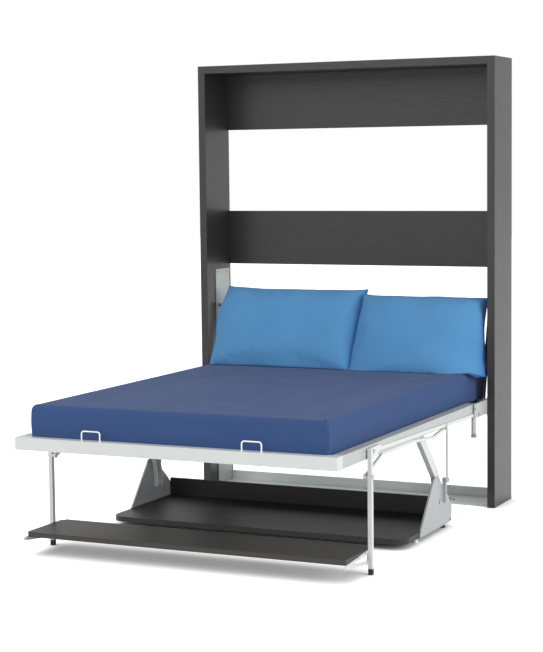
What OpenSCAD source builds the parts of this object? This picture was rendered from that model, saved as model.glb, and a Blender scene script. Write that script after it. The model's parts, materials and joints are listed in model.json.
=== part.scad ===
// Wall bed with a fold-down desk: an open cabinet, a bed that pivots in front of it, a desk that
// hangs level under the bed, and legs with a shelf that hang level under its foot.
// Millimetres, +Z up, the room on the -Y side. The bed is drawn lowered.
// Inside the modules y = 0 is the front plane of the cabinet; place() moves that plane so that the
// origin is on the floor in the middle of the whole outline.

/* [Cabinet] */
// Outside width of the cabinet
cabinet_w = 1588; // [1320:2:1906]
// Depth of the cabinet, front edge to wall
cabinet_d = 272; // [226:1:327]
// Thickness of the side and top panels
panel_t = 38; // [31:1:46]
// Thickness of the two boards across the back
back_board_t = 16; // [13:1:20]
// Height of the top back board
back_top_h = 284; // [236:1:341]
// Height of the middle back board above the floor
back_mid_z = 1157; // [1150:1:1390]
// Height of the middle back board itself
back_mid_h = 278; // [231:1:334]
// Room left above the folded bed
top_gap = 102; // [85:1:123]

/* [Floor rail] */
// Distance of the floor rail's front edge behind the cabinet front
floor_rail_setback = 30; // [25:1:36]
// Height of the floor rail's back upstand
floor_rail_h = 51; // [42:1:62]
// Sheet thickness of the floor rail
floor_rail_t = 3; // [2.5:0.5:4]

/* [Mechanism plates] */
// Sheet thickness of the mechanism plates
plate_t = 4; // [3.5:0.5:5]
// Width of the upright part of a mechanism plate
plate_w = 155; // [130:1:186]
// Height of the top of a mechanism plate
plate_h = 1135; // [1100:1:1145]
// Distance from the wall to a mechanism plate
plate_back_gap = 22; // [18:1:27]

/* [Bed] */
// Length of the mattress
mattress_l = 1905; // [1700:5:2286]
// Thickness of the mattress
mattress_t = 150; // [125:1:180]
// How far the mattress reaches behind the cabinet front
mattress_head = 137; // [114:1:150]
// Space between the mattress and the outside of the foot rail
foot_gap = 69; // [62:1:83]
// Space between the mattress and the side rails
mattress_gap = 10; // [8:1:12]
// Height of the top of the bed rails
rail_top_z = 530; // [520:1:560]
// Height of a bed rail
rail_h = 54; // [50:1:65]
// Width of the flanges of a side rail
rail_flange = 45; // [38:1:54]
// Width of the flanges of the foot rail
foot_flange = 57; // [48:1:61]
// Wall of the bed rails
rail_wall = 3; // [2.5:0.5:3.5]
// Thickness of the boards that face the underside of the bed
face_board_t = 10; // [8:1:11]
// Number of slats
slat_count = 14; // [10:1:16]
// Width of a slat
slat_w = 60; // [50:1:70]

/* [Pillows] */
// Width of the left pillow
pillow_left_w = 745; // [621:1:760]
// Width of the right pillow
pillow_right_w = 650; // [542:1:655]
// Length of a pillow from its lower to its upper edge
pillow_l = 500; // [417:1:520]
// Thickness of a pillow at its middle
pillow_t = 170; // [142:1:185]
// Angle of the leaning pillows above the mattress, in degrees
pillow_lean = 50; // [45:1:60]

/* [Linkage] */
// Distance of the bed pivot in front of the cabinet
pivot_reach = 175; // [165:1:185]
// Height of the bed pivot
pivot_z = 378; // [370:1:390]
// Distance of the leg pivot from the foot end of the bed
leg_inset = 309; // [290:1:368]
// Height of the leg pivot
leg_pivot_z = 405; // [395:1:415]
// Distance of the desk pivot in front of the cabinet
desk_pivot_reach = 625; // [590:1:670]
// Height of the desk pivot
desk_pivot_z = 136; // [125:1:150]
// Rearward offset of the upper pivots of the levelling bars
link_dy = 50; // [42:1:56]
// Upward offset of the upper pivots of the levelling bars
link_dz = 98; // [82:1:104]
// Radius of every pivot pin
pin_r = 6; // [5:0.5:6.5]
// Play of a pin in its bore, all round
pin_play = 0.06; // [0.03:0.01:0.1]
// Thickness of the levelling bars
bar_t = 3; // [2.5:0.5:4]
// Height of the levelling bars
bar_h = 16; // [14:1:19]
// Space between two steel parts that pass each other
side_gap = 1.25; // [1:0.25:2]

/* [Gas springs] */
// Outside diameter of a gas spring
spring_d = 20; // [17:1:22]
// Diameter of the rod of a gas spring
spring_rod_d = 10; // [8:1:12]
// Length between the studs of a gas spring with the bed down
spring_l = 455; // [435:1:475]
// Distance of the lower stud of a gas spring behind the cabinet front
spring_foot_y = 28; // [24:1:32]
// Height of the lower stud of a gas spring
spring_foot_z = 503; // [502:1:506]

/* [Desk] */
// Depth of the desk top
desk_d = 600; // [500:1:640]
// Height of the desk surface with the bed down
desk_z = 48; // [46:1:56]
// Thickness of the desk top
desk_t = 24; // [20:1:26]
// Distance of the rear edge of the desk in front of the cabinet
desk_rear = 465; // [450:1:480]
// Height of the upstand above the desk surface
upstand_h = 84; // [70:1:100]
// Thickness of the upstand
upstand_t = 16; // [13:1:19]
// Radius of the front corners of the desk
desk_corner_r = 60; // [50:1:72]

/* [Legs and shelf] */
// Width of a leg, across the bed
leg_w = 18; // [15:1:22]
// Depth of a leg, along the bed
leg_d = 20; // [18:1:24]
// Height of the rubber foot of a leg
leg_foot_h = 25; // [21:1:30]
// Height of the top of the shelf
shelf_z = 106; // [96:1:127]
// Thickness of the shelf
shelf_t = 22; // [18:1:26]
// Depth of the shelf
shelf_d = 298; // [249:1:302]
// Distance from the foot end of the bed to the front of the shelf
shelf_inset = 77; // [70:1:92]

/* [Hidden] */

$fn = 48;
cut = 1;

// Planes across the bed, from the cabinet side inwards. All are on the right-hand side.
inner_x = cabinet_w / 2 - panel_t;
plate_x = inner_x - plate_t;
bar_outer_x = plate_x - side_gap;
bar_x = bar_outer_x - bar_t;
rail_x = bar_x - side_gap;
web_x = rail_x - rail_wall;
pivot_plate_t = 6;
pivot_plate_x = web_x - pivot_plate_t;
rail_edge_x = rail_x - rail_flange;
mattress_w = 2 * (rail_edge_x - mattress_gap);
spring_x = pivot_plate_x - 2 - spring_d / 2;

// Heights and reaches
rail_bottom_z = rail_top_z - rail_h;
bed_reach = mattress_l - mattress_head + foot_gap;
cabinet_h = pivot_z - pivot_reach + bed_reach + top_gap + panel_t;
front_y = (bed_reach - cabinet_d) / 2;
board_y = cabinet_d - back_board_t;
face_board_z = rail_bottom_z + rail_wall;
tube_z = face_board_z + face_board_t;
tube_h = 20;
slat_t = 8;
slat_z = tube_z + tube_h + 1;
deck_z = slat_z + slat_t;
soft_gap = 0.3;
mattress_z = deck_z + soft_gap;
mattress_top_z = mattress_z + mattress_t;

// Pivots, as [y, z]
bed_pivot = [-pivot_reach, pivot_z];
link = [link_dy, link_dz];
bar_pivot = bed_pivot + link;
leg_pivot = [leg_inset - bed_reach, leg_pivot_z];
leg_link = leg_pivot + link;
desk_pivot = [-desk_pivot_reach, desk_pivot_z];
desk_link = desk_pivot + link;
spring_foot = [spring_foot_y, spring_foot_z];
// With the bed up the lower stud has turned a quarter round the bed pivot. The upper stud is on
// the line through both places.
spring_foot_up = bed_pivot
    + [spring_foot[1] - bed_pivot[1], bed_pivot[0] - spring_foot[0]];
spring_top = spring_foot + spring_l * (spring_foot - spring_foot_up)
    / norm(spring_foot - spring_foot_up);

module place() {
    translate([0, front_y, 0]) children();
}

module left() {
    mirror([1, 0, 0]) children();
}

module both() {
    children();
    left() children();
}

// A box from two opposite corners
module block(low, high) {
    translate(low) cube(high - low);
}

// A sheet between two x planes with its outline drawn in (y, z)
module sheet(x0, x1) {
    translate([x0, 0, 0]) rotate([90, 0, 90]) linear_extrude(x1 - x0) children();
}

// A round bar between two x planes, centred on a pivot given as [y, z]
module pin(x0, x1, at, r) {
    translate([x0, at[0], at[1]]) rotate([0, 90, 0]) cylinder(h = x1 - x0, r = r);
}

function unit(v) = v / norm(v);
function normal(v) = [-v[1], v[0]];

// Direction of the mitre at point i of an open path
function mitre(path, i) =
    let (last = len(path) - 1)
    let (a = i > 0 ? unit(path[i] - path[i - 1]) : unit(path[1] - path[0]))
    let (b = i < last ? unit(path[i + 1] - path[i]) : a)
    let (n = unit(normal(a) + normal(b)))
    n / (n * normal(a));

// A path widened to a band, as an outline that runs anticlockwise
function band(path, half) = concat(
    [for (i = [0 : len(path) - 1]) path[i] - mitre(path, i) * half],
    [for (i = [len(path) - 1 : -1 : 0]) path[i] + mitre(path, i) * half]
);

// A corner between two edges, rounded by an arc of the given radius
function fillet(before, corner, after, r, steps = 6) =
    let (u = unit(before - corner), v = unit(after - corner))
    let (half = acos(u * v) / 2)
    let (centre = corner + unit(u + v) * r / sin(half))
    let (from = corner + u * r / tan(half) - centre)
    let (turn = (u[0] * v[1] - u[1] * v[0] > 0 ? -1 : 1) * (180 - 2 * half))
    [for (i = [0 : steps])
        let (a = turn * i / steps)
        centre + [from[0] * cos(a) - from[1] * sin(a), from[0] * sin(a) + from[1] * cos(a)]];

// An outline with every corner rounded
function rounded(points, r) = [
    for (i = [0 : len(points) - 1])
        each fillet(points[(i + len(points) - 1) % len(points)], points[i],
            points[(i + 1) % len(points)], r)
];

// ---- Cabinet ----

dowel_r = 4;
dowel_play = 0.05;
dowel_in_panel = 25;
dowel_in_board = 35;
dowel_from_edge = 60;
dowel_from_back = 72;
back_top_z = cabinet_h - panel_t - back_top_h;
dowel_places = [
    for (y = [dowel_from_edge, cabinet_d - dowel_from_back]) [y, cabinet_h - panel_t / 2],
    for (board = [[back_top_z, back_top_h], [back_mid_z, back_mid_h]],
        z = [dowel_from_edge, board[1] - dowel_from_edge])
        [board_y + back_board_t / 2, board[0] + z]
];

module dowel_holes() {
    for (at = dowel_places)
        both() pin(inner_x - dowel_in_board - cut, inner_x + dowel_in_panel + cut, at,
            dowel_r + dowel_play);
}

module cabinet_side() {
    difference() {
        block([inner_x, 0, 0], [inner_x + panel_t, cabinet_d, cabinet_h]);
        dowel_holes();
        plate_screw_shafts(screw_r + dowel_play);
    }
}

module cabinet_side_left() {
    color("#3a3839") place() left() cabinet_side();
}

module cabinet_side_right() {
    color("#3a3839") place() cabinet_side();
}

module cabinet_top() {
    color("#3a3839") place() difference() {
        block([-inner_x, 0, cabinet_h - panel_t], [inner_x, cabinet_d, cabinet_h]);
        dowel_holes();
    }
}

wall_hole_r = 4;
wall_hole_x = 600;
wall_hole_dz = 180;

module wall_holes() {
    for (x = [-wall_hole_x, wall_hole_x], s = [-1, 1])
        translate([x, board_y - cut, back_top_z + back_top_h / 2 + s * wall_hole_dz / 2])
            rotate([-90, 0, 0]) cylinder(h = back_board_t + 2 * cut, r = wall_hole_r);
}

module back_board_top() {
    color("#464445") place() difference() {
        block([-inner_x, board_y, back_top_z], [inner_x, cabinet_d, back_top_z + back_top_h]);
        dowel_holes();
        wall_holes();
    }
}

module back_board_middle() {
    color("#464445") place() difference() {
        block([-inner_x, board_y, back_mid_z], [inner_x, cabinet_d, back_mid_z + back_mid_h]);
        dowel_holes();
    }
}

module cabinet_dowels() {
    color("#c8a36a") place() both()
        for (at = dowel_places)
            pin(inner_x - dowel_in_board, inner_x + dowel_in_panel, at, dowel_r);
}

// ---- Floor rail ----

floor_bolt_r = 4;
floor_bolt_y = 121;
floor_bolt_x = [-541, -180, 180, 541];
floor_bolt_play = 0.5;
floor_head_r = 7;
floor_head_h = 5;

module floor_rail() {
    color("#a0a8a6") place() difference() {
        union() {
            block([-inner_x, floor_rail_setback, 0], [inner_x, board_y, floor_rail_t]);
            block([-inner_x, board_y - floor_rail_t, 0], [inner_x, board_y, floor_rail_h]);
        }
        for (x = floor_bolt_x)
            translate([x, floor_bolt_y, -cut])
                cylinder(h = floor_rail_t + 2 * cut, r = floor_bolt_r + floor_bolt_play);
    }
}

module floor_bolts() {
    color("#8a8f8f") place()
        for (x = floor_bolt_x)
            translate([x, floor_bolt_y, 0]) {
                cylinder(h = floor_rail_t, r = floor_bolt_r);
                translate([0, 0, floor_rail_t]) cylinder(h = floor_head_h, r = floor_head_r, $fn = 6);
            }
}

// ---- Mechanism plates, fixed to the cabinet sides ----

hanger_r = 10;
hanger_bolt_drop = 22;
hanger_bolt_r = 7;
hanger_bolt = [bed_pivot[0], rail_top_z - hanger_bolt_drop];
arm_below_bar = 14;
arm_ahead_of_pivot = 13;
arm_bottom_z = bar_pivot[1] - arm_below_bar;
arm_front_y = bed_pivot[0] - arm_ahead_of_pivot;
arm_root = 110;
plate_back_y = cabinet_d - plate_back_gap;
plate_front_y = plate_back_y - plate_w;
screw_r = 3;
screw_head_r = 6;
screw_head_h = 3;
screw_depth = 22;
screw_from_edge = 20;
plate_screw_z = [120, 330, 600, 860, plate_h - 15];
plate_screw_places = [
    for (z = plate_screw_z, y = [plate_front_y + screw_from_edge, plate_back_y - screw_from_edge])
        [y, z]
];

function plate_outline() = [
    [plate_back_y, floor_rail_t], [plate_back_y, plate_h], [plate_front_y, plate_h],
    [plate_front_y, rail_top_z + arm_root], [0, rail_top_z], [arm_front_y, rail_top_z],
    [arm_front_y, arm_bottom_z], [0, arm_bottom_z], [plate_front_y, arm_bottom_z - arm_root],
    [plate_front_y, floor_rail_t]
];

module mechanism_plate() {
    difference() {
        sheet(plate_x, inner_x) union() {
            polygon(plate_outline());
            translate([bed_pivot[0] - hanger_r, bed_pivot[1]])
                square([2 * hanger_r, rail_top_z - bed_pivot[1]]);
            translate(bed_pivot) circle(hanger_r);
        }
        pin(plate_x - cut, inner_x + cut, bed_pivot, pin_r);
        pin(plate_x - cut, inner_x + cut, bar_pivot, pin_r);
        pin(plate_x - cut, inner_x + cut, spring_top, pin_r);
        for (at = plate_screw_places) pin(plate_x - cut, inner_x + cut, at, screw_r + dowel_play);
    }
}

module plate_screw_shafts(r) {
    for (at = plate_screw_places) pin(plate_x, inner_x + screw_depth, at, r);
}

module mechanism_plate_left() {
    color("#b9bdbb") place() left() mechanism_plate();
}

module mechanism_plate_right() {
    color("#b9bdbb") place() mechanism_plate();
}

module plate_screws() {
    color("#8a8f8f") place() both() {
        plate_screw_shafts(screw_r);
        for (at = plate_screw_places) pin(plate_x - screw_head_h, plate_x, at, screw_head_r);
    }
}

head_h = 4;
clip_t = 2.5;
pin_gap = 0.1;
collar = 3;

// The pin stays in the mechanism plate; the bed turns on it. A flat bolt above it closes the hanger.
module bed_pivot_pins() {
    color("#d5d8d8") place() both() {
        pin(inner_x, inner_x + head_h, hanger_bolt, hanger_bolt_r);
        pin(pivot_plate_x - clip_t, inner_x, bed_pivot, pin_r);
        pin(inner_x, inner_x + head_h, bed_pivot, pin_r + collar);
        pin(pivot_plate_x - clip_t, pivot_plate_x - pin_gap, bed_pivot, pin_r + collar);
        pin(rail_x, plate_x, bed_pivot, pin_r + collar);
    }
}

module bar_pivot_pins() {
    color("#d5d8d8") place() both() {
        pin(bar_x, inner_x, bar_pivot, pin_r);
        pin(bar_outer_x + pin_gap, plate_x, bar_pivot, pin_r + collar);
        pin(inner_x, inner_x + head_h, bar_pivot, pin_r + collar);
    }
}

// ---- Gas springs ----

spring_angle = atan2(spring_foot[0] - spring_top[0], spring_top[1] - spring_foot[1]);
rod_shows = 30;
cylinder_l = spring_l - rod_shows;
eye_w = spring_d;
eye_r = 11;
neck_l = 6;
stud_r = 4;
stud_collar_r = 9;
stud_end = 2;
eye_gap = 0.3;
cylinder_cap = 8;
cylinder_overlap = 4;

// Turns a spring drawn straight down from its upper stud to its place
module spring_frame() {
    translate([spring_x, spring_top[0], spring_top[1]]) rotate([spring_angle, 0, 0]) children();
}

module eye(z) {
    translate([-eye_w / 2, 0, z]) rotate([0, 90, 0]) difference() {
        cylinder(h = eye_w, r = eye_r);
        translate([0, 0, -cut]) cylinder(h = eye_w + 2 * cut, r = stud_r + pin_play);
    }
}

module spring_top_studs() {
    color("#8a8f8f") place() both() {
        pin(spring_x - eye_w / 2 - stud_end, inner_x, spring_top, stud_r);
        pin(spring_x + eye_w / 2 + eye_gap, plate_x, spring_top, stud_collar_r);
        pin(plate_x, inner_x, spring_top, pin_r);
    }
}

module gas_cylinder() {
    spring_frame() {
        eye(0);
        translate([0, 0, -eye_r - neck_l]) cylinder(h = neck_l + cylinder_overlap, r = spring_rod_d / 2);
        difference() {
            translate([0, 0, -cylinder_l])
                cylinder(h = cylinder_l - eye_r - neck_l, r = spring_d / 2);
            translate([0, 0, -cylinder_l - cut])
                cylinder(h = cylinder_l - eye_r - neck_l - cylinder_cap,
                    r = spring_rod_d / 2 + pin_play);
        }
    }
}

module gas_cylinder_left() {
    color("#2b2b2c") place() left() gas_cylinder();
}

module gas_cylinder_right() {
    color("#2b2b2c") place() gas_cylinder();
}

rod_top = eye_r + neck_l + cylinder_cap + 10;
rod_in_eye = 2;

module gas_rod() {
    spring_frame() {
        translate([0, 0, eye_r - rod_in_eye - spring_l])
            cylinder(h = spring_l - eye_r + rod_in_eye - rod_top, r = spring_rod_d / 2);
        translate([-eye_w / 2, 0, -spring_l]) rotate([0, 90, 0])
            cylinder(h = eye_w, r = eye_r);
    }
}

module gas_rod_left() {
    color("#c9cccc") place() left() gas_rod();
}

module gas_rod_right() {
    color("#c9cccc") place() gas_rod();
}

// ---- Bed frame ----

rail_rear_y = -150;
foot_inner_y = foot_flange - bed_reach;

// A channel that opens inwards, between two y planes
module side_channel(y0, y1) {
    block([web_x, y0, rail_bottom_z], [rail_x, y1, rail_top_z]);
    block([rail_edge_x, y0, rail_bottom_z], [rail_x, y1, rail_bottom_z + rail_wall]);
    block([rail_edge_x, y0, rail_top_z - rail_wall], [rail_x, y1, rail_top_z]);
}

frame_bolt_y = [-310, -200];
frame_bolt_edge = 16;
frame_bolt_places = [
    for (y = frame_bolt_y, z = [rail_top_z - frame_bolt_edge, rail_bottom_z + frame_bolt_edge])
        [y, z]
];
frame_bolt_r = 4;

module frame_bolt_holes() {
    for (at = frame_bolt_places)
        pin(pivot_plate_x - cut, rail_x + cut, at, frame_bolt_r + dowel_play);
}

// A shallow groove shows where the front and rear lengths of the rail meet
seam_y = -991;
seam_w = 3;
seam_d = 1;

module bed_rail() {
    difference() {
        union() {
            side_channel(foot_inner_y, rail_rear_y);
            block([web_x, rail_rear_y, rail_bottom_z], [rail_x, mattress_head, rail_top_z]);
        }
        block([rail_x - seam_d, seam_y, rail_bottom_z - cut],
            [rail_x + cut, seam_y + seam_w, rail_top_z + cut]);
        // Gap in the lower flange for the pivot plate
        block([pivot_plate_x, bed_pivot[0] - hanger_r, rail_bottom_z - cut],
            [web_x, bed_pivot[0] + hanger_r, rail_bottom_z + rail_wall]);
        frame_bolt_holes();
    }
}

module bed_rail_left() {
    color("#dcdfde") place() left() bed_rail();
}

module bed_rail_right() {
    color("#dcdfde") place() bed_rail();
}

module bed_rail_foot() {
    color("#dcdfde") place() {
        block([-rail_x, -bed_reach, rail_bottom_z],
            [rail_x, rail_wall - bed_reach, rail_top_z]);
        block([-rail_x, -bed_reach, rail_bottom_z],
            [rail_x, foot_inner_y, rail_bottom_z + rail_wall]);
        block([-rail_x, -bed_reach, rail_top_z - rail_wall],
            [rail_x, foot_inner_y, rail_top_z]);
        both() block([web_x, -bed_reach, rail_bottom_z], [rail_x, foot_inner_y, rail_top_z]);
    }
}

head_rail_d = 90;
head_rail_y = mattress_head - head_rail_d;

module bed_rail_head() {
    color("#dcdfde") place() difference() {
        block([-pivot_plate_x, head_rail_y, rail_bottom_z],
            [pivot_plate_x, mattress_head, deck_z]);
        block([-pivot_plate_x - cut, head_rail_y - cut, rail_bottom_z + rail_wall],
            [pivot_plate_x + cut, mattress_head - rail_wall, deck_z - rail_wall]);
    }
}

tube_d = 40;
tube_wall = 2;
pivot_plate_y = -340;
tube_count = 4;
tube_first_y = foot_inner_y + 230;
tube_last_y = rail_rear_y - 100;
tube_pitch = (tube_last_y - tube_first_y) / (tube_count - 1);

// The tubes end on the webs of the side rails, and the last one on the pivot plates
module cross_members() {
    color("#dcdfde") place() for (i = [0 : tube_count - 1]) difference() {
        y = tube_first_y + i * tube_pitch;
        end_x = y < pivot_plate_y ? web_x : pivot_plate_x;
        block([-end_x, y, tube_z], [end_x, y + tube_d, tube_z + tube_h]);
        block([-end_x - cut, y + tube_wall, tube_z + tube_wall],
            [end_x + cut, y + tube_d - tube_wall, tube_z + tube_h - tube_wall]);
    }
}

// Slats run across the bed between their holders, evenly spaced, with room for the gas springs
slat_in_holder = 8;
slat_end_x = rail_edge_x + slat_in_holder;
slat_margin = 40;
slat_first_y = foot_inner_y + slat_margin;
slat_last_y = rail_rear_y + 30 - slat_w;
slat_pitch = (slat_last_y - slat_first_y) / (slat_count - 1);
slat_play = 0.2;
holder_gap = 1;
holder_x0 = mattress_w / 2 + 2 * holder_gap;
holder_x1 = pivot_plate_x - holder_gap;
holder_wall = 3;

module slats() {
    color("#d9b983") place() for (i = [0 : slat_count - 1])
        translate([-slat_end_x, slat_first_y + i * slat_pitch, slat_z])
            cube([2 * slat_end_x, slat_w, slat_t]);
}

// The holders hang under the upper flanges of the side rails
module slat_holders() {
    color("#303132") place() both() for (i = [0 : slat_count - 1])
        translate([0, slat_first_y + i * slat_pitch, 0]) difference() {
            block([holder_x0, -holder_wall, slat_z - holder_gap],
                [holder_x1, slat_w + holder_wall, rail_top_z - rail_wall]);
            block([holder_x0 - cut, -slat_play, slat_z],
                [slat_end_x + slat_play, slat_w + slat_play, deck_z + slat_play]);
        }
}

// Boards that close the underside, lying on the lower flanges
face_board_count = 3;
face_gap = 1;
face_first_y = foot_inner_y + face_gap;
face_last_y = head_rail_y - face_gap;
face_on_flange = 12;
face_half = rail_edge_x + face_on_flange;
face_l = (face_last_y - face_first_y - (face_board_count - 1) * face_gap) / face_board_count;

module face_boards() {
    color("#464445") place() for (i = [0 : face_board_count - 1])
        translate([0, face_first_y + i * (face_l + face_gap), 0])
            block([-face_half, 0, face_board_z], [face_half, face_l, face_board_z + face_board_t]);
}

module pivot_plate() {
    difference() {
        sheet(pivot_plate_x, web_x) union() {
            translate([pivot_plate_y, rail_bottom_z + rail_wall])
                square([mattress_head - pivot_plate_y, rail_h - 2 * rail_wall]);
            translate([bed_pivot[0] - hanger_r, bed_pivot[1]])
                square([2 * hanger_r, rail_bottom_z + rail_wall + hanger_r - bed_pivot[1]]);
            translate(bed_pivot) circle(hanger_r);
        }
        pin(pivot_plate_x - cut, web_x + cut, bed_pivot, pin_r + pin_play);
        frame_bolt_holes();
    }
    // Stud that faces the eye of the gas spring
    pin(spring_x + eye_w / 2 + eye_gap, pivot_plate_x, spring_foot, stud_collar_r);
}

module pivot_plate_left() {
    color("#b9bdbb") place() left() pivot_plate();
}

module pivot_plate_right() {
    color("#b9bdbb") place() pivot_plate();
}

// Flush outside, so that the levelling bar passes over them
module frame_bolts() {
    color("#d5d8d8") place() both()
        for (at = frame_bolt_places) {
            pin(pivot_plate_x, rail_x, at, frame_bolt_r);
            pin(pivot_plate_x - head_h, pivot_plate_x, at, frame_bolt_r + collar);
        }
}

// ---- Stays and arms under the bed ----

stay_h = 14;
stay_t = 12;
stay_x0 = rail_x - 1 - stay_t;
stay_z = rail_bottom_z - stay_h / 2;
stay_rise_l = 185;
stay_dip = 20;
stay_dip_l = [410, 145];
stay_tail = 35;
// From the leg pivot up to the rail, along it, down in a dip ahead of the desk link and back
stay_path = [
    leg_pivot, [leg_pivot[0] + stay_rise_l, stay_z], [desk_link[0] - stay_dip_l[0], stay_z],
    [desk_link[0] - stay_dip_l[1], stay_z - stay_dip], [desk_link[0], stay_z],
    [desk_link[0] + stay_tail, stay_z]
];
stay_end_r = 11;

module side_stay() {
    difference() {
        sheet(stay_x0, stay_x0 + stay_t) union() {
            polygon(band(stay_path, stay_h / 2));
            translate(leg_pivot) circle(stay_end_r);
        }
        pin(stay_x0 - cut, stay_x0 + stay_t + cut, leg_pivot, pin_r);
    }
}

module side_stay_left() {
    color("#d2d6d5") place() left() side_stay();
}

module side_stay_right() {
    color("#d2d6d5") place() side_stay();
}

arm_x1 = stay_x0 - 1;
arm_w = 24;
arm_x0 = arm_x1 - arm_w;
arm_half = 24;
arm_wall = 3;
arm_flange_t = 6;
arm_reach = 225;
arm_knee = [-25, 132];
arm_above_pivot = 40;
arm_below_pivot = 18;
// From the rail down to a knee and on to the desk pivot
arm_path = [
    [desk_pivot[0] - arm_reach, rail_bottom_z - arm_flange_t], desk_pivot + arm_knee,
    desk_pivot + [0, arm_above_pivot], desk_pivot - [0, arm_below_pivot]
];
arm_flange_l = [80, 90];
arm_flange_y = [arm_path[0][0] - arm_flange_l[0], arm_path[0][0] + arm_flange_l[1]];

module desk_arm() {
    difference() {
        union() {
            difference() {
                sheet(arm_x0, arm_x1) polygon(band(arm_path, arm_half));
                sheet(arm_x0 - cut, arm_x1 - arm_wall) polygon(band(arm_path, arm_half - arm_wall));
            }
            pin(arm_x0, arm_x1, desk_pivot, pin_r + 5);
            block([rail_edge_x, arm_flange_y[0], rail_bottom_z - arm_flange_t],
                [arm_x1, arm_flange_y[1], rail_bottom_z]);
        }
        block([arm_x0 - cut, arm_flange_y[0], rail_bottom_z],
            [arm_x1 + cut, arm_flange_y[1], rail_bottom_z + arm_w]);
        pin(arm_x0 - cut, arm_x1 + cut, desk_pivot, pin_r);
    }
}

module desk_arm_left() {
    color("#c9cecc") place() left() desk_arm();
}

module desk_arm_right() {
    color("#c9cecc") place() desk_arm();
}

// ---- Mattress retainers on the foot rail ----

wire_r = 3;
loop_w = 88;
loop_x = 373;
loop_h = 43;
loop_corner_r = 12;
loop_y = wire_r + 1 - bed_reach;

module loop_corner() {
    rotate([90, 0, 0]) rotate_extrude(angle = 90)
        translate([loop_corner_r, 0]) circle(wire_r, $fn = 24);
}

module retainer() {
    half = loop_w / 2;
    translate([loop_x, loop_y, rail_top_z]) {
        for (s = [-1, 1]) {
            translate([s * half, 0, 0]) cylinder(h = loop_h - loop_corner_r, r = wire_r, $fn = 24);
            translate([s * half, 0, 0]) cylinder(h = 2, r = wire_r + 1);
        }
        translate([half - loop_corner_r, 0, loop_h - loop_corner_r]) loop_corner();
        translate([loop_corner_r - half, 0, loop_h - loop_corner_r])
            mirror([1, 0, 0]) loop_corner();
        translate([loop_corner_r - half, 0, loop_h]) rotate([0, 90, 0])
            cylinder(h = loop_w - 2 * loop_corner_r, r = wire_r, $fn = 24);
    }
}

module mattress_retainers() {
    color("#eceeee") place() both() retainer();
}

// ---- Mattress ----

corner_steps = 6;
edge_steps = 4;

// Outline of a rectangle with round corners, drawn in by the given amount
function plan_ring(w, l, r, inset) =
    let (rr = max(r - inset, 4), hx = w / 2 - inset - rr, hy = l / 2 - inset - rr)
    [for (c = [0 : 3], i = [0 : corner_steps + edge_steps - 1])
        let (a = 90 * c + 90 * min(i, corner_steps) / corner_steps)
        let (sx = (c == 0 || c == 3) ? 1 : -1, sy = c < 2 ? 1 : -1)
        let (along = max(i - corner_steps, 0) / edge_steps)
        let (p = [sx * hx + rr * cos(a), sy * hy + rr * sin(a)])
        let (nx = (c == 0 || c == 2) ? -2 * sx * hx : 0, ny = (c == 1 || c == 3) ? -2 * sy * hy : 0)
        p + along * [nx, ny]];

function mean(ring, k) = [for (p = ring) p[k]] * [for (p = ring) 1] / len(ring);

// Rings stacked into one closed skin with flat ends
module stacked(rings) {
    n = len(rings[0]);
    m = len(rings);
    middles = [for (ring = [rings[0], rings[m - 1]]) [for (k = [0 : 2]) mean(ring, k)]];
    points = [for (ring = rings) each ring, each middles];
    sides = [for (j = [0 : m - 2], i = [0 : n - 1])
        let (a = j * n + i, b = j * n + (i + 1) % n)
        each [[a, a + n, b], [b, a + n, b + n]]];
    ends = [for (i = [0 : n - 1])
        let (next = (i + 1) % n, last = (m - 1) * n)
        each [[m * n, i, next], [m * n + 1, last + next, last + i]]];
    polyhedron(points = points, faces = concat(sides, ends), convexity = 4);
}

mattress_corner_r = 55;
mattress_edge = 26;
mattress_crown = 9;
edge_rings = 5;

// The underside edge, the slightly full sides, the top edge and the crowned top
function mattress_profile() = concat(
    [[14, 0], [5, 4], [1, 14]],
    [[0, mattress_t * 0.45]],
    [for (i = [0 : edge_rings])
        let (a = 90 * i / edge_rings, top = mattress_t - mattress_crown)
        [2 + mattress_edge * (1 - cos(a)), top - mattress_edge * (1 - sin(a))]],
    [for (s = [0.25, 0.5, 0.75, 0.95])
        [2 + mattress_edge + s * (mattress_w / 2 - mattress_edge - 10),
            mattress_t - mattress_crown * (1 - s) * (1 - s)]]
);

module mattress() {
    color("#4a5f98") place()
        translate([0, mattress_head - mattress_l / 2, mattress_z])
            stacked([for (p = mattress_profile())
                [for (q = plan_ring(mattress_w, mattress_l, mattress_corner_r, p[0]))
                    [q[0], q[1], p[1]]]]);
}

// ---- Pillows ----

// Thickness of a pillow along its lower and upper edges
pillow_edge_t = 40;
// How far a pillow is drawn in at its sides
pillow_draw = 30;

// Height of the top of the mattress at a given distance along the bed
function seat_z(y) =
    mattress_top_z - mattress_crown * pow(1 - (mattress_head - y) / (mattress_w / 2), 2);

// Side view of a pillow lying flat: two arcs between two flat edges
module pillow_section() {
    rise = (pillow_t - pillow_edge_t) / 2;
    r = (pow(pillow_l / 2, 2) + pow(rise, 2)) / (2 * rise);
    intersection() {
        translate([0, pillow_t / 2 - r]) circle(r, $fn = 180);
        translate([0, r - pillow_t / 2]) circle(r, $fn = 180);
        square([pillow_l, pillow_t], center = true);
    }
}

// A pillow leans on its lower edge
module pillow(w, seat_y) {
    drop = (pillow_l * sin(pillow_lean) + pillow_edge_t * cos(pillow_lean)) / 2;
    translate([0, 0, seat_z(seat_y) + soft_gap + drop])
        rotate([pillow_lean, 0, 0]) sheet(pillow_draw - w / 2, w / 2 - pillow_draw)
            pillow_section();
}

pillow_left_x = -272;
pillow_right_x = 385;
pillow_left_y = -72;
pillow_right_y = -40;
pillow_right_turn = -5;
// Where the lower edge of each pillow touches the mattress
pillow_left_seat = -220;
pillow_right_seat = -215;

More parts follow.
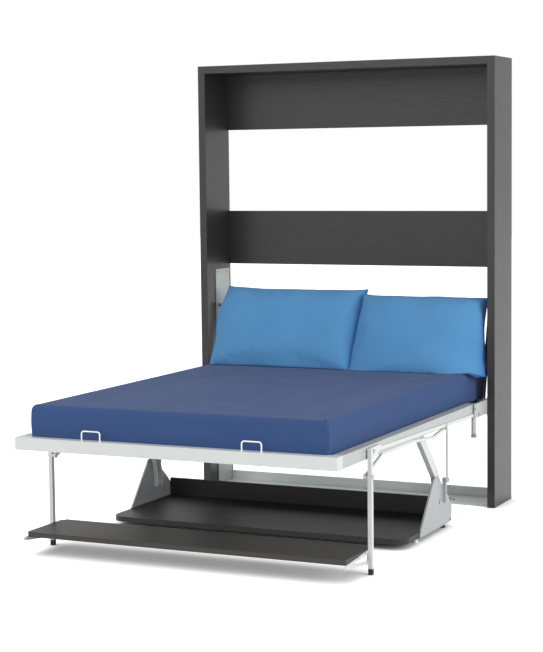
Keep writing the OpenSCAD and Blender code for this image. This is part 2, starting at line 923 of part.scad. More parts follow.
module pillow_left() {
    color("#5a92c4") place() translate([pillow_left_x, pillow_left_y, 0])
        pillow(pillow_left_w, pillow_left_seat);
}

module pillow_right() {
    color("#5a92c4") place() translate([pillow_right_x, pillow_right_y, 0])
        rotate([0, 0, pillow_right_turn]) pillow(pillow_right_w, pillow_right_seat);
}

// ---- Levelling bars ----

rod_y = desk_link[0];
rod_top_z = bar_pivot[1] + (leg_link[1] - bar_pivot[1]) * (rod_y - bar_pivot[0])
    / (leg_link[0] - bar_pivot[0]);
rod_x = bar_outer_x;
rod_t = 8;
rod_h = 16;

module levelling_bar() {
    difference() {
        sheet(bar_x, bar_outer_x) union() {
            polygon(band([bar_pivot, leg_link], bar_h / 2));
            translate(bar_pivot) circle(bar_h / 2 + 3);
            translate(leg_link) circle(bar_h / 2 + 3);
        }
        pin(bar_x - cut, bar_outer_x + cut, bar_pivot, pin_r + pin_play);
        pin(bar_x - cut, bar_outer_x + cut, leg_link, pin_r + pin_play);
    }
}

module levelling_bar_left() {
    color("#ced2d1") place() left() levelling_bar();
}

module levelling_bar_right() {
    color("#ced2d1") place() levelling_bar();
}

module control_rod() {
    difference() {
        sheet(rod_x, rod_x + rod_t) union() {
            polygon(band([desk_link, [rod_y, rod_top_z]], rod_h / 2));
            translate(desk_link) circle(rod_h / 2 + 3);
            translate([rod_y, rod_top_z]) circle(rod_h / 2);
        }
        pin(rod_x - cut, rod_x + rod_t + cut, desk_link, pin_r + pin_play);
    }
}

module control_rod_left() {
    color("#ced2d1") place() left() control_rod();
}

module control_rod_right() {
    color("#ced2d1") place() control_rod();
}

// ---- Legs and shelf ----

leg_x0 = plate_x;
leg_x1 = leg_x0 + leg_w;
leg_y0 = leg_pivot[0] - leg_d / 2;
leg_y1 = leg_pivot[0] + leg_d / 2;
leg_above_link = 17;
leg_top_z = leg_link[1] + leg_above_link;
leg_wall = 2;
head_plate_t = 4;
head_plate_l = [90, 133];
head_plate_drop = 26;
head_plate_edge = 12;
hub = 4;

module leg() {
    difference() {
        union() {
            difference() {
                block([leg_x0, leg_y0, leg_foot_h], [leg_x1, leg_y1, leg_top_z]);
                block([leg_x0 + leg_wall, leg_y0 + leg_wall, leg_foot_h - cut],
                    [leg_x1 - leg_wall, leg_y1 - leg_wall, leg_top_z - leg_wall]);
            }
            sheet(leg_x0, leg_x0 + head_plate_t) polygon([
                [leg_y0, leg_top_z], [leg_y0, leg_pivot[1] + leg_d],
                [leg_y1, leg_pivot[1] + pin_r + 2 * hub],
                leg_link - [0, head_plate_drop],
                [leg_pivot[0] + head_plate_l[0], leg_link[1] - head_plate_drop],
                [leg_pivot[0] + head_plate_l[1], leg_top_z - head_plate_edge],
                [leg_pivot[0] + head_plate_l[1], leg_top_z]
            ]);
            pin(leg_x0, leg_x1, leg_pivot, pin_r + hub);
        }
        pin(leg_x0 - cut, leg_x1 + cut, leg_pivot, pin_r + pin_play);
        pin(leg_x0 - cut, leg_x0 + head_plate_t + cut, leg_link, pin_r);
        for (at = shelf_screw_places)
            pin(leg_x0 - cut, leg_x0 + leg_wall + cut, at, screw_r + dowel_play);
    }
}

module leg_left() {
    color("#dfe2e1") place() left() leg();
}

module leg_right() {
    color("#dfe2e1") place() leg();
}

plug_h = 14;

// Rubber feet with a plug that stands in the tube of the leg
module leg_feet() {
    color("#1d1d1e") place() both() {
        block([leg_x0, leg_y0, 0], [leg_x1, leg_y1, leg_foot_h]);
        block([leg_x0 + leg_wall + pin_gap, leg_y0 + leg_wall + pin_gap, leg_foot_h],
            [leg_x1 - leg_wall - pin_gap, leg_y1 - leg_wall - pin_gap, leg_foot_h + plug_h]);
    }
}

// The pins of the legs stay in the bed stays; their heads are outside the legs
module leg_pivot_pins() {
    color("#d5d8d8") place() both() {
        pin(stay_x0, leg_x1 + pin_gap, leg_pivot, pin_r);
        pin(stay_x0 + stay_t, leg_x0 - pin_gap, leg_pivot, pin_r + collar);
        pin(leg_x1 + pin_gap, leg_x1 + head_h, leg_pivot, pin_r + collar);
    }
}

module leg_link_pins() {
    color("#d5d8d8") place() both() {
        pin(bar_x, leg_x0 + head_plate_t, leg_link, pin_r);
        pin(bar_outer_x + pin_gap, leg_x0, leg_link, pin_r + collar);
        pin(leg_x0 + head_plate_t, leg_x0 + head_plate_t + head_h, leg_link, pin_r + collar);
    }
}

shelf_front_y = shelf_inset - bed_reach;
shelf_rear_y = shelf_front_y + shelf_d;
shelf_half = rail_x;
strip_h = 14;
tip_ahead = 12;
tip_below = 18;
bracket_tip = [shelf_front_y - tip_ahead, shelf_z - shelf_t / 2 - tip_below];
bracket_rear_y = leg_y1 + 6;
bracket_plate_h = 62;
upper_strip_drop = 9;
lower_strip_drop = 58;
shelf_screw_places = [
    for (drop = [upper_strip_drop + 1, lower_strip_drop]) [leg_pivot[0], shelf_z - drop]
];

// A flat triangle of two strips from the leg to the front edge of the shelf
module shelf_bracket() {
    upper = [bracket_tip, [bracket_rear_y, shelf_z - upper_strip_drop]];
    lower = [bracket_tip, [bracket_rear_y, shelf_z - lower_strip_drop]];
    difference() {
        sheet(shelf_half, leg_x0) union() {
            polygon(band(upper, strip_h / 2));
            polygon(band(lower, strip_h / 2));
            translate(bracket_tip) circle(strip_h / 2);
            translate([leg_y0, shelf_z - lower_strip_drop - strip_h / 2])
                square([bracket_rear_y - leg_y0, bracket_plate_h]);
        }
        for (at = shelf_screw_places)
            pin(shelf_half - cut, leg_x0 + cut, at, screw_r + dowel_play);
        for (y = shelf_board_screws)
            pin(shelf_half - cut, leg_x0 + cut, [y, bracket_screw_z(y)], screw_r + dowel_play);
    }
}

shelf_board_screws = [shelf_front_y + 120, shelf_front_y + 195];

// Height of a screw in the upper strip at a given y, a little above the middle of the strip
screw_above_middle = 4;
function bracket_screw_z(y) =
    bracket_tip[1] + screw_above_middle
        + (shelf_z - upper_strip_drop - bracket_tip[1]) * (y - bracket_tip[0])
        / (bracket_rear_y - bracket_tip[0]);

module shelf_bracket_left() {
    color("#e6e8e8") place() left() shelf_bracket();
}

module shelf_bracket_right() {
    color("#e6e8e8") place() shelf_bracket();
}

board_screw_l = 18;
shelf_screw_l = 6;
shelf_corner_r = 12;

// The rear corners are notched, so that the folded shelf clears the stays of the bed
notch_x = stay_x0 - 3;
notch_y = leg_pivot[0] + stay_z - stay_h / 2 - leg_pivot[1] - 5;

module shelf_board() {
    outline = concat(
        [[-shelf_half, notch_y], [-notch_x, notch_y], [-notch_x, shelf_rear_y],
            [notch_x, shelf_rear_y], [notch_x, notch_y], [shelf_half, notch_y]],
        fillet([shelf_half, shelf_rear_y], [shelf_half, shelf_front_y],
            [-shelf_half, shelf_front_y], shelf_corner_r),
        fillet([shelf_half, shelf_front_y], [-shelf_half, shelf_front_y],
            [-shelf_half, shelf_rear_y], shelf_corner_r)
    );
    color("#45423d") place() difference() {
        translate([0, 0, shelf_z - shelf_t]) linear_extrude(shelf_t) polygon(outline);
        both() for (y = shelf_board_screws)
            pin(shelf_half - board_screw_l, shelf_half + cut, [y, bracket_screw_z(y)],
                screw_r + dowel_play);
    }
}

module shelf_screws() {
    color("#8a8f8f") place() both() {
        for (at = shelf_screw_places) {
            pin(shelf_half, leg_x0 + leg_wall + shelf_screw_l, at, screw_r);
            pin(leg_x0 + leg_wall, leg_x0 + leg_wall + 3, at, screw_r + 2);
        }
        for (y = shelf_board_screws) {
            pin(shelf_half - board_screw_l, leg_x0, [y, bracket_screw_z(y)], screw_r);
            pin(leg_x0, leg_x0 + 2, [y, bracket_screw_z(y)], screw_r + 2);
        }
    }
}

// ---- Desk ----

desk_plate_t = 3;
desk_plate_x = arm_x1 + 1;
desk_plate_x1 = desk_plate_x + desk_plate_t;
desk_half = desk_plate_x - 0.2;
desk_bottom_z = desk_z - desk_t;
flange_t = 2;
desk_foot_h = desk_bottom_z - flange_t;
bracket_back = 1;
desk_front_y = -desk_rear - desk_d;
bracket_foot = [desk_pivot[0] - 271, desk_foot_h];
bracket_top = [desk_pivot[0] - 75, desk_pivot[1] + 120];
bracket_points = [
    bracket_foot, [-desk_rear - 40, desk_foot_h], [-desk_rear - bracket_back, desk_foot_h + 36],
    [-desk_rear - bracket_back, desk_foot_h + 80], [-desk_rear - 44, desk_foot_h + 124],
    [desk_pivot[0] + 25, desk_pivot[1] + 82], [desk_pivot[0] - 15, desk_pivot[1] + 126],
    bracket_top
];
front_flange_w = 8;
front_flange_lift = 3;
post_w = 16;
post_x1 = rod_x - 1;
post_z0 = desk_pivot[1] - pin_r;

// Point on the sloping front edge of the bracket at a given height
function front_edge(z) =
    let (a = bracket_foot, b = bracket_top)
    [a[0] + (b[0] - a[0]) * (z - a[1]) / (b[1] - a[1]), z];

// A shallow line pressed into the outside of the bracket beside the post
slot_path = [
    [desk_link[0] - 26, bracket_top[1] - 14], [desk_link[0] - 26, desk_pivot[1] + 32],
    [desk_pivot[0] - 24, desk_pivot[1] + 16]
];

module desk_bracket() {
    difference() {
        union() {
            sheet(desk_plate_x, desk_plate_x1) polygon(rounded(bracket_points, 10));
            sheet(desk_plate_x1 - front_flange_w, desk_plate_x)
                polygon([
                    front_edge(desk_z + front_flange_lift),
                    front_edge(desk_z + front_flange_lift) + [4, 0],
                    front_edge(bracket_top[1] - 14) + [4, 0], front_edge(bracket_top[1] - 14)
                ]);
            block([desk_plate_x1 - 40, bracket_foot[0] + 4, desk_foot_h],
                [desk_plate_x1, -desk_rear - 44, desk_bottom_z]);
            // Upright post that carries the pin of the control rod
            sheet(desk_plate_x, post_x1) union() {
                translate([desk_link[0] - post_w / 2, post_z0])
                    square([post_w, desk_link[1] - post_z0]);
                translate(desk_link) circle(post_w / 2 + 2);
            }
        }
        pin(desk_plate_x - cut, desk_plate_x1 + cut, desk_pivot, pin_r + pin_play);
        pin(desk_plate_x - cut, post_x1 + cut, desk_link, pin_r);
        sheet(desk_plate_x1 - 1, desk_plate_x1 + cut) polygon(band(slot_path, 1.5));
        desk_screw_shafts(screw_r + dowel_play);
    }
}

module desk_bracket_left() {
    color("#c3c8c6") place() left() desk_bracket();
}

module desk_bracket_right() {
    color("#c3c8c6") place() desk_bracket();
}

desk_screw_x = desk_plate_x1 - 28;
desk_screw_y = [bracket_foot[0] + 120, -desk_rear - 180, -desk_rear - 90];
desk_screw_l = 14;

module desk_screw_shafts(r) {
    for (y = desk_screw_y)
        translate([desk_screw_x, y, desk_foot_h - cut])
            cylinder(h = desk_screw_l + flange_t + cut, r = r);
}

// Depth of the rebate that the upstand stands in, clear of the surface in front of it
rebate_depth = 3;
upstand_play = 0.2;

module desk_top() {
    outline = concat(
        [[-desk_half, -desk_rear], [desk_half, -desk_rear]],
        fillet([desk_half, -desk_rear], [desk_half, desk_front_y], [-desk_half, desk_front_y],
            desk_corner_r),
        fillet([desk_half, desk_front_y], [-desk_half, desk_front_y], [-desk_half, -desk_rear],
            desk_corner_r)
    );
    color("#282624") place() difference() {
        translate([0, 0, desk_bottom_z]) linear_extrude(desk_t) polygon(outline);
        block([-desk_half - cut, -desk_rear - upstand_t - upstand_play, desk_z - rebate_depth],
            [desk_half + cut, -desk_rear + cut, desk_z + cut]);
        both() desk_screw_shafts(screw_r + dowel_play);
    }
}

module desk_upstand() {
    color("#282624") place()
        block([-desk_half, -desk_rear - upstand_t, desk_z - rebate_depth],
            [desk_half, -desk_rear, desk_z + upstand_h]);
}

desk_foot_places = [bracket_foot[0] + 18, -desk_rear - 60];

module desk_feet() {
    color("#1d1d1e") place() both() for (y = desk_foot_places)
        translate([desk_plate_x1 - 24, y, 0]) {
            cylinder(h = desk_foot_h - 8, r1 = 11, r2 = 12);
            cylinder(h = desk_foot_h, r = 6);
        }
}

module desk_screws() {
    color("#8a8f8f") place() both() for (y = desk_screw_y)
        translate([desk_screw_x, y, desk_foot_h - 2]) {
            cylinder(h = desk_screw_l, r = screw_r);
            cylinder(h = 2, r = screw_r + 2.5);
        }
}

module desk_pivot_pins() {
    color("#d5d8d8") place() both() {
        pin(arm_x0, desk_plate_x1 + pin_gap, desk_pivot, pin_r);
        pin(desk_plate_x1 + pin_gap, desk_plate_x1 + head_h, desk_pivot, pin_r + collar);
        pin(arm_x1, desk_plate_x - pin_gap, desk_pivot, pin_r + collar);
    }
}

module desk_link_pins() {
    color("#d5d8d8") place() both() {
        pin(desk_plate_x, rod_x + rod_t + pin_gap, desk_link, pin_r);
        pin(post_x1, rod_x - pin_gap, desk_link, pin_r + collar);
        pin(rod_x + rod_t + pin_gap, rod_x + rod_t + head_h, desk_link, pin_r + collar);
    }
}

cabinet_side_left();
cabinet_side_right();
cabinet_top();
back_board_top();
back_board_middle();
cabinet_dowels();
floor_rail();
floor_bolts();
mechanism_plate_left();
mechanism_plate_right();
plate_screws();
bed_pivot_pins();
bar_pivot_pins();
spring_top_studs();
gas_cylinder_left();
gas_cylinder_right();
gas_rod_left();
gas_rod_right();
bed_rail_left();
bed_rail_right();
bed_rail_foot();
bed_rail_head();
cross_members();
slats();
slat_holders();
face_boards();
pivot_plate_left();
pivot_plate_right();
frame_bolts();
side_stay_left();
side_stay_right();
desk_arm_left();
desk_arm_right();
leg_pivot_pins();
desk_pivot_pins();
mattress_retainers();
mattress();
pillow_left();
pillow_right();
levelling_bar_left();
levelling_bar_right();
control_rod_left();
control_rod_right();
leg_left();
leg_right();
leg_feet();
leg_link_pins();
shelf_bracket_left();
shelf_bracket_right();
shelf_board();
shelf_screws();
desk_top();
desk_upstand();
desk_bracket_left();
desk_bracket_right();
desk_feet();
desk_link_pins();
desk_screws();
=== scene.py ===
"""Finish, cloth and light for the wall bed with a fold-down desk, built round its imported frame."""
import json
import math
from functools import cache

import bmesh
import bpy
import numpy as np
from bpy.props import FloatProperty, FloatVectorProperty, IntProperty, PointerProperty
from bpy.types import Operator, Panel, PropertyGroup
from mathutils import Matrix, Vector, noise

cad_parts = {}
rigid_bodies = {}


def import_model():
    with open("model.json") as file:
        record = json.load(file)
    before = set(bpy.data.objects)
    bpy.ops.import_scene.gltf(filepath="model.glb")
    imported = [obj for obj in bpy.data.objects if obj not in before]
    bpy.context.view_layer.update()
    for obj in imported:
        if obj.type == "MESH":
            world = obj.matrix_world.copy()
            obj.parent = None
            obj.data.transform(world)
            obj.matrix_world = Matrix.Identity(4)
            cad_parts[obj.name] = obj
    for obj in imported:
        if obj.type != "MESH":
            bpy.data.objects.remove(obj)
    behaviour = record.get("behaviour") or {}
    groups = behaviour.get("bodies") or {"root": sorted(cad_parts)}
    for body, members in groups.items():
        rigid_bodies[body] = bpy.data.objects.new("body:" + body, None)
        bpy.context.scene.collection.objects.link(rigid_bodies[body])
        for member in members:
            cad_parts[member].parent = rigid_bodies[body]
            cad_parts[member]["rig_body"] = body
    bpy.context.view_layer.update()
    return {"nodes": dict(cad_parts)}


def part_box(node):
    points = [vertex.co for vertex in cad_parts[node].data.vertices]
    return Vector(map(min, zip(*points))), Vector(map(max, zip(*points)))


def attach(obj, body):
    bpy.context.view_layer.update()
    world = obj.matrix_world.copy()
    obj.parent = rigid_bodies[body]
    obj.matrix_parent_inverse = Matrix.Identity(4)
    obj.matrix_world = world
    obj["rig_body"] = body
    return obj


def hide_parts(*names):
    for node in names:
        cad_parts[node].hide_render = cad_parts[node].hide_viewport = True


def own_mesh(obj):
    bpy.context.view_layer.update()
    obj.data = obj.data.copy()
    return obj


bl_info = {
    "name": "Wall Bed Finisher",
    "version": (1, 0, 0),
    "blender": (4, 5, 0),
    "location": "View3D > Sidebar > Wall Bed",
    "description": "Eases, dresses and lights a wall bed with a fold-down desk",
    "category": "Object",
}

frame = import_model()

SIDES = ("left", "right")
WELD = 1e-5
FLAT_ANGLE = math.radians(0.5)
SHARP_ANGLE = math.radians(32)

# Edges shorter than these stay sharp on each kind of part
BOARD_LEAST = 0.02
RAIL_LEAST = 0.012
PLATE_LEAST = 0.005
BOLT_LEAST = 0.004
BRACKET_LEAST = 0.002


# ---- Sizes and colours that a user would change ----


def linear(red, green, blue):
    """A colour given as 0 to 255 on screen, in the linear values that a shader takes."""
    screen = [level / 255 for level in (red, green, blue)]
    return tuple(((c + 0.055) / 1.055) ** 2.4 if c > 10 / 255 else c / 12.92 for c in screen)


def paint_chip(name, description, red, green, blue):
    """A colour property whose default is given as it looks on screen."""
    return FloatVectorProperty(
        name=name, description=description, subtype="COLOR", size=3, min=0, max=1,
        default=linear(red, green, blue),
    )


def span(name, description, default):
    """A length property in metres."""
    return FloatProperty(
        name=name, description=description, unit="LENGTH", precision=4, min=0, default=default
    )


def spot(name, description, default):
    """A place property in metres."""
    return FloatVectorProperty(
        name=name, description=description, subtype="TRANSLATION", unit="LENGTH", precision=4,
        default=default,
    )


def bearing(name, description, default):
    """An angle property in radians."""
    return FloatProperty(name=name, description=description, subtype="ANGLE", default=default)


class WallBedColours(PropertyGroup):
    """Colours of the finishes."""

    board: paint_chip("Board", "Charcoal melamine of the cabinet", 34, 32, 33)
    bed_paint: paint_chip("Bed frame", "Powder coat of the bed frame", 202, 206, 205)
    # Painted shade: the bed frame's powder coat made darker, standing in for shade on the side rails'
    # recessed outer faces
    side_paint: paint_chip("Side rails", "Powder coat of the side rails of the bed", 174, 179, 178)
    link_paint: paint_chip("Linkage", "Powder coat of stays, bars, legs and rods", 208, 212, 211)
    bracket_paint: paint_chip("Brackets", "Powder coat of the desk brackets", 165, 169, 170)
    # Painted light: the rail's light grey coat made almost white, to make up for the shade under the bed
    rail_grey: paint_chip("Floor rail", "Powder coat of the floor rail", 240, 246, 244)
    plate_grey: paint_chip("Mechanism plates", "Powder coat of the plates in the cabinet", 176, 181, 179)
    wire: paint_chip("Retainers", "Plastic coat of the wire retainers", 234, 236, 237)
    zinc: paint_chip("Hardware", "Zinc plate of pins and screws", 168, 170, 170)
    cylinder: paint_chip("Gas springs", "Paint of the gas cylinders", 52, 53, 55)
    desk: paint_chip("Desk", "Laminate of the desk", 30, 28, 28)
    shelf: paint_chip("Shelf", "Laminate of the shelf", 47, 46, 40)
    slat: paint_chip("Slats", "Birch of the slats", 205, 170, 118)
    plastic: paint_chip("Slat holders", "Moulded plastic of the slat holders", 40, 41, 43)
    rubber: paint_chip("Feet", "Rubber of the feet", 24, 24, 25)
    mattress: paint_chip("Mattress", "Cotton sheet over the mattress", 53, 77, 123)
    pillow: paint_chip("Pillows", "Cotton of the pillow cases", 84, 142, 190)
    # Painted shade: a deeper blue where the cases curve away from the light along their seams
    pillow_rim: paint_chip("Pillow rims", "Deeper tone of the cases along their seams", 40, 100, 182)


class WallBedSizes(PropertyGroup):
    """Sizes of edges, seams and soft goods."""

    board_ease: span("Board edge", "Rounding of the edges of boards", 0.0012)
    laminate_ease: span("Desk edge", "Rounding of the edges of desk and shelf", 0.0025)
    bend_ease: span("Bend radius", "Rounding of folded steel rails", 0.0012)
    tube_ease: span("Tube corner", "Rounding of square tubes", 0.0014)
    sheet_ease: span("Sheet edge", "Rounding of cut steel sheet", 0.0006)
    pin_ease: span("Pin edge", "Rounding of pins and bolt heads", 0.0009)
    bolt_spread: span("Bolt spread", "Distance of the wall bolts from the middle", 0.6)
    bolt_height: span("Bolt height", "Height of the middle of the wall bolts", 2.0)
    bolt_rise: span("Bolt rise", "Half of the height between the wall bolts", 0.09)
    cap_radius: span("Cap radius", "Radius of the caps over the wall bolts", 0.0075)
    cap_thickness: span("Cap thickness", "How far the caps stand out", 0.0014)
    mattress_corner: span("Mattress corner", "Radius of the upright corners of the mattress", 0.014)
    mattress_foot: span("Mattress foot", "How far it stands past its solid at the foot", 0.025)
    mattress_head: span("Mattress head", "How far it stands past its solid at the head", 0.045)
    mattress_swell: span("Mattress swell", "How far the sides bulge at half height", 0.0025)
    mattress_edge: span("Mattress edge", "Radius of the top edge of the mattress", 0.024)
    mattress_crown: span("Mattress crown", "Rise of the mattress towards its middle", 0.002)
    mattress_grid: span("Mattress mesh", "Size of the faces of the mattress", 0.016)
    sheet_fold: span("Sheet folds", "Depth of the folds of the sheet at the corners", 0.0022)
    pillow_length: span("Pillow length", "Length of a pillow from lower to upper seam", 0.5)
    pillow_draw: span("Pillow draw", "How far the seams of a case draw in between its corners", 0.004)
    pillow_full: span("Pillow thickness", "Thickness of a pillow at its middle", 0.15)
    pillow_bow: span("Pillow bow", "How far the outer seam of the left pillow bulges", 0.026)
    pillow_swing: span("Pillow swing", "How far the right pillow's outer seam swings back", 0.135)
    pillow_spread: span("Pillow spread", "How far the right pillow spreads at its foot", 0.038)
    left_width: span("Left pillow width", "Width of the left pillow", 0.808)
    right_width: span("Right pillow width", "Width of the right pillow", 0.666)
    left_pillow: spot("Left pillow", "Middle of its upper seam", (-0.288, 0.885, 1.054))
    right_pillow: spot("Right pillow", "Middle of its upper seam", (0.419, 0.835, 1.037))
    pillow_grid: span("Pillow mesh", "Size of the faces of a pillow before subdivision", 0.0095)
    pillow_give: span("Pillow give", "Most that a point of the cloth moves when the pillow fills", 0.014)
    left_lean: bearing("Left lean", "Angle of the left pillow above the mattress", math.radians(58))
    right_lean: bearing("Right lean", "Angle of the right pillow above the mattress", math.radians(66))
    fill_frames: IntProperty(
        name="Filling steps",
        description="Steps of the simulation that fills the pillows",
        default=20,
        min=2,
    )


class WallBedStage(PropertyGroup):
    """Camera and light."""

    position: spot("Camera", "Where the camera stands", (3.43577, -7.37719, 1.67442))
    yaw: bearing("Yaw", "Turn of the camera to the left", 0.438668)
    pitch: bearing("Pitch", "How far the camera looks down", 0.090554)
    roll: bearing("Roll", "Roll of the camera", -0.01148)
    lens: FloatProperty(
        name="Lens", description="Focal length on a 36 mm wide frame", unit="CAMERA", default=117.71
    )
    sky: FloatProperty(name="Sky light", description="Level of the light from all round", default=0.62)
    floor_size: span("Floor", "Side of the square floor", 60)
    floor_lift: FloatProperty(
        name="Floor lift", description="White that the floor adds where it is seen", default=0.9
    )
    floor_reach: span("Floor shadow", "How far from a piece its shadow takes that white away", 0.12)


# ---- Shader maths ----


class Value:
    """A socket of a node tree. Sums on it add Math nodes."""

    def __init__(self, tree, socket):
        self.tree = tree
        self.socket = socket

    def maths(self, operation, *values):
        """Any Math node on numbers or values."""
        return self.tree.node("ShaderNodeMath", {"operation": operation}, dict(enumerate(values)))

    def __add__(self, other):
        return self.maths("ADD", self, other)

    def __sub__(self, other):
        return self.maths("SUBTRACT", self, other)

    def __rsub__(self, other):
        return self.maths("SUBTRACT", other, self)

    def __mul__(self, other):
        return self.maths("MULTIPLY", self, other)

    __radd__ = __add__
    __rmul__ = __mul__

    def sine(self):
        """Sine of the value."""
        return self.maths("SINE", self)

    def larger(self, other):
        """The larger of two values."""
        return self.maths("MAXIMUM", self, other)

    def above(self, level, softness):
        """0 below a level and 1 above it, with a soft step."""
        stops = [(max(level - softness, 0), 0), (min(level + softness, 1), 1)]
        return self.tree.node("ShaderNodeValToRGB", {"stops": stops}, {0: self})


def set_stops(ramp, stops):
    """Places grey stops, each a place and a level, on a colour ramp."""
    while len(ramp.elements) < len(stops):
        ramp.elements.new(0.5)
    for element, (place, level) in zip(ramp.elements, stops):
        element.position = place
        element.color = (level, level, level, 1)


class Tree:
    """A node tree under construction."""

    def __init__(self, tree):
        self.tree = tree

    def node(self, kind, settings, inputs, output=0):
        """Adds a node with its settings first, then the numbers or links of its sockets.

        It returns the chosen output, if the node has any.
        """
        made = self.tree.nodes.new(kind)
        for name, value in settings.items():
            if name == "stops":
                set_stops(made.color_ramp, value)
            else:
                setattr(made, name, value)
        for key, value in inputs.items():
            if isinstance(value, Value):
                self.tree.links.new(value.socket, made.inputs[key])
            else:
                made.inputs[key].default_value = value
        return Value(self, made.outputs[output]) if made.outputs else None

    def place(self, stretch=(1, 1, 1), turn=(0, 0, 0)):
        """Object coordinates in metres, turned and then stretched."""
        where = self.node("ShaderNodeTexCoord", {}, {}, "Object")
        turned = self.node("ShaderNodeMapping", {}, {"Vector": where, "Rotation": turn})
        return self.node("ShaderNodeMapping", {}, {"Vector": turned, "Scale": stretch})

    def axes(self, where):
        """The three numbers of a vector."""
        names = ("X", "Y", "Z")
        return [self.node("ShaderNodeSeparateXYZ", {}, {0: where}, name) for name in names]

    def noise(self, where, scale=1.0, detail=2.0, roughness=0.5):
        """Soft noise from 0 to 1."""
        sockets = {"Vector": where, "Scale": scale, "Detail": detail, "Roughness": roughness}
        return self.node("ShaderNodeTexNoise", {}, sockets)

    def blend(self, share, first, second):
        """A colour between two others."""
        return self.node("ShaderNodeMix", {"data_type": "RGBA"}, {0: share, 6: first, 7: second}, 2)

    def bump(self, height, depth):
        """Relief of the given depth in metres."""
        return self.node("ShaderNodeBump", {}, {"Height": height, "Distance": depth})

    def seen(self):
        """1 for a ray of the camera, a reflection or a view through glass, else 0."""
        names = ("Is Camera Ray", "Is Glossy Ray", "Is Transmission Ray")
        direct, mirrored, through = [self.node("ShaderNodeLightPath", {}, {}, name) for name in names]
        return direct.larger(mirrored).larger(through)


class Finish(Tree):
    """A material on one principled surface. Constants go on its own sockets."""

    def __init__(self, name, constants):
        self.material = bpy.data.materials.new(name)
        self.material.use_nodes = True
        super().__init__(self.material.node_tree)
        self.surface = self.tree.nodes["Principled BSDF"]
        for socket, value in constants.items():
            self.surface.inputs[socket].default_value = value

    def wear(self, colour, roughness, bump):
        """Links what varies over the surface."""
        links = {"Base Color": colour, "Roughness": roughness, "Normal": bump}
        for name, value in links.items():
            self.tree.links.new(value.socket, self.surface.inputs[name])
        return self.material


def shade(colour, factor):
    """A colour made darker or lighter, with its alpha."""
    return tuple(min(c * factor, 1) for c in colour[:3]) + (1,)


# How a board's printed grain is stretched where the board stands and where it lies across, and
# the thickness of a birch ply and of the threads in metres
UPRIGHT_GRAIN = (330, 330, 5)
ACROSS_GRAIN = (5, 330, 330)
BIRCH_PLY = 0.0016
MATTRESS_THREAD = 0.0011
PILLOW_THREAD = 0.0009


def board_finish(name, chip, grain):
    """Melamine board with a fine printed grain; grain is the stretch of the streaks."""
    finish = Finish(name, {"Specular IOR Level": 0.3, "Coat Weight": 0.36, "Coat Roughness": 0.28})
    along = finish.place(grain)
    streaks = finish.noise(along, 1.0, 4.0, 0.62)
    pores = finish.noise(along, 2.7, 2.0, 0.4).above(0.6, 0.06)
    cloud = finish.noise(finish.place((2.2, 2.2, 1.1)), 1.0, 2.0)
    tone = finish.blend(streaks * 0.75 + cloud * 0.25, shade(chip, 0.66), shade(chip, 1.36))
    colour = finish.blend(pores * 0.45, tone, shade(chip, 0.5))
    relief = finish.bump(streaks - pores * 0.8, 0.00022)
    return finish.wear(colour, 0.4 + streaks * 0.12 + pores * 0.14, relief)


def paint_finish(name, chip):
    """Powder coat on steel, with the fine peel of the powder and handling marks."""
    finish = Finish(name, {"Specular IOR Level": 0.5})
    peel = finish.noise(finish.place(), 900.0, 1.0)
    cloud = finish.noise(finish.place(), 5.0, 3.0)
    rubs = finish.noise(finish.place((18, 18, 60)), 1.0, 5.0, 0.7).above(0.66, 0.08)
    tone = finish.blend(cloud, shade(chip, 0.93), shade(chip, 1.05))
    colour = finish.blend(rubs * 0.1, tone, shade(chip, 0.72))
    relief = finish.bump(peel + cloud * 0.2, 0.00009)
    return finish.wear(colour, 0.36 + peel * 0.1 + rubs * 0.14, relief)


def zinc_finish(name, chip):
    """Zinc plate with a faint spangle."""
    finish = Finish(name, {"Metallic": 1.0})
    spangle = {"Vector": finish.place(), "Scale": 420.0}
    grains = finish.node("ShaderNodeTexVoronoi", {}, spangle, "Color")
    grain = finish.node("ShaderNodeRGBToBW", {}, {0: grains})
    haze = finish.noise(finish.place(), 60.0, 3.0)
    colour = finish.blend(grain * 0.6 + haze * 0.4, shade(chip, 0.82), shade(chip, 1.22))
    return finish.wear(colour, 0.28 + grain * 0.1 + haze * 0.14, finish.bump(haze, 0.00005))


def laminate_finish(name, chip, gloss):
    """Laminate with a fine pearl texture and faint wipe marks; gloss is its plain roughness."""
    finish = Finish(name, {"Specular IOR Level": 0.38})
    pearl = finish.noise(finish.place(), 700.0, 2.0)
    cloud = finish.noise(finish.place(), 3.5, 3.0)
    wipes = finish.noise(finish.place((3, 40, 40)), 1.0, 4.0, 0.6)
    fleck = finish.noise(finish.place(), 260.0, 2.0).above(0.64, 0.05)
    tone = finish.blend(cloud, shade(chip, 0.86), shade(chip, 1.12))
    colour = finish.blend(fleck * 0.35, tone, shade(chip, 1.5))
    return finish.wear(colour, gloss + pearl * 0.08 + wipes * 0.1, finish.bump(pearl, 0.0001))


def birch_finish(name, chip):
    """Pressed birch with grain that runs across the bed and plies that show at its edges."""
    finish = Finish(name, {"Specular IOR Level": 0.4})
    fibres = finish.noise(finish.place((5, 260, 260)), 1.0, 5.0, 0.6)
    rings = finish.noise(finish.place((1.2, 30, 30)), 1.0, 2.0)
    plies = (finish.axes(finish.place())[2] * (2 * math.pi / BIRCH_PLY)).sine()
    tone = finish.blend(fibres * 0.6 + rings * 0.4, shade(chip, 0.72), shade(chip, 1.16))
    return finish.wear(tone, 0.46 + fibres * 0.16, finish.bump(fibres + plies * 0.12, 0.00016))


def moulded_finish(name, chip, roughness, depth):
    """Moulded plastic or rubber with a spark-eroded skin."""
    finish = Finish(name, {"Specular IOR Level": 0.45})
    skin = finish.noise(finish.place(), 1100.0, 2.0)
    dust = finish.noise(finish.place(), 42.0, 4.0, 0.65).above(0.58, 0.12)
    colour = finish.blend(dust * 0.35, shade(chip, 1.0), shade(chip, 1.9))
    return finish.wear(colour, roughness + skin * 0.1 + dust * 0.1, finish.bump(skin, depth))


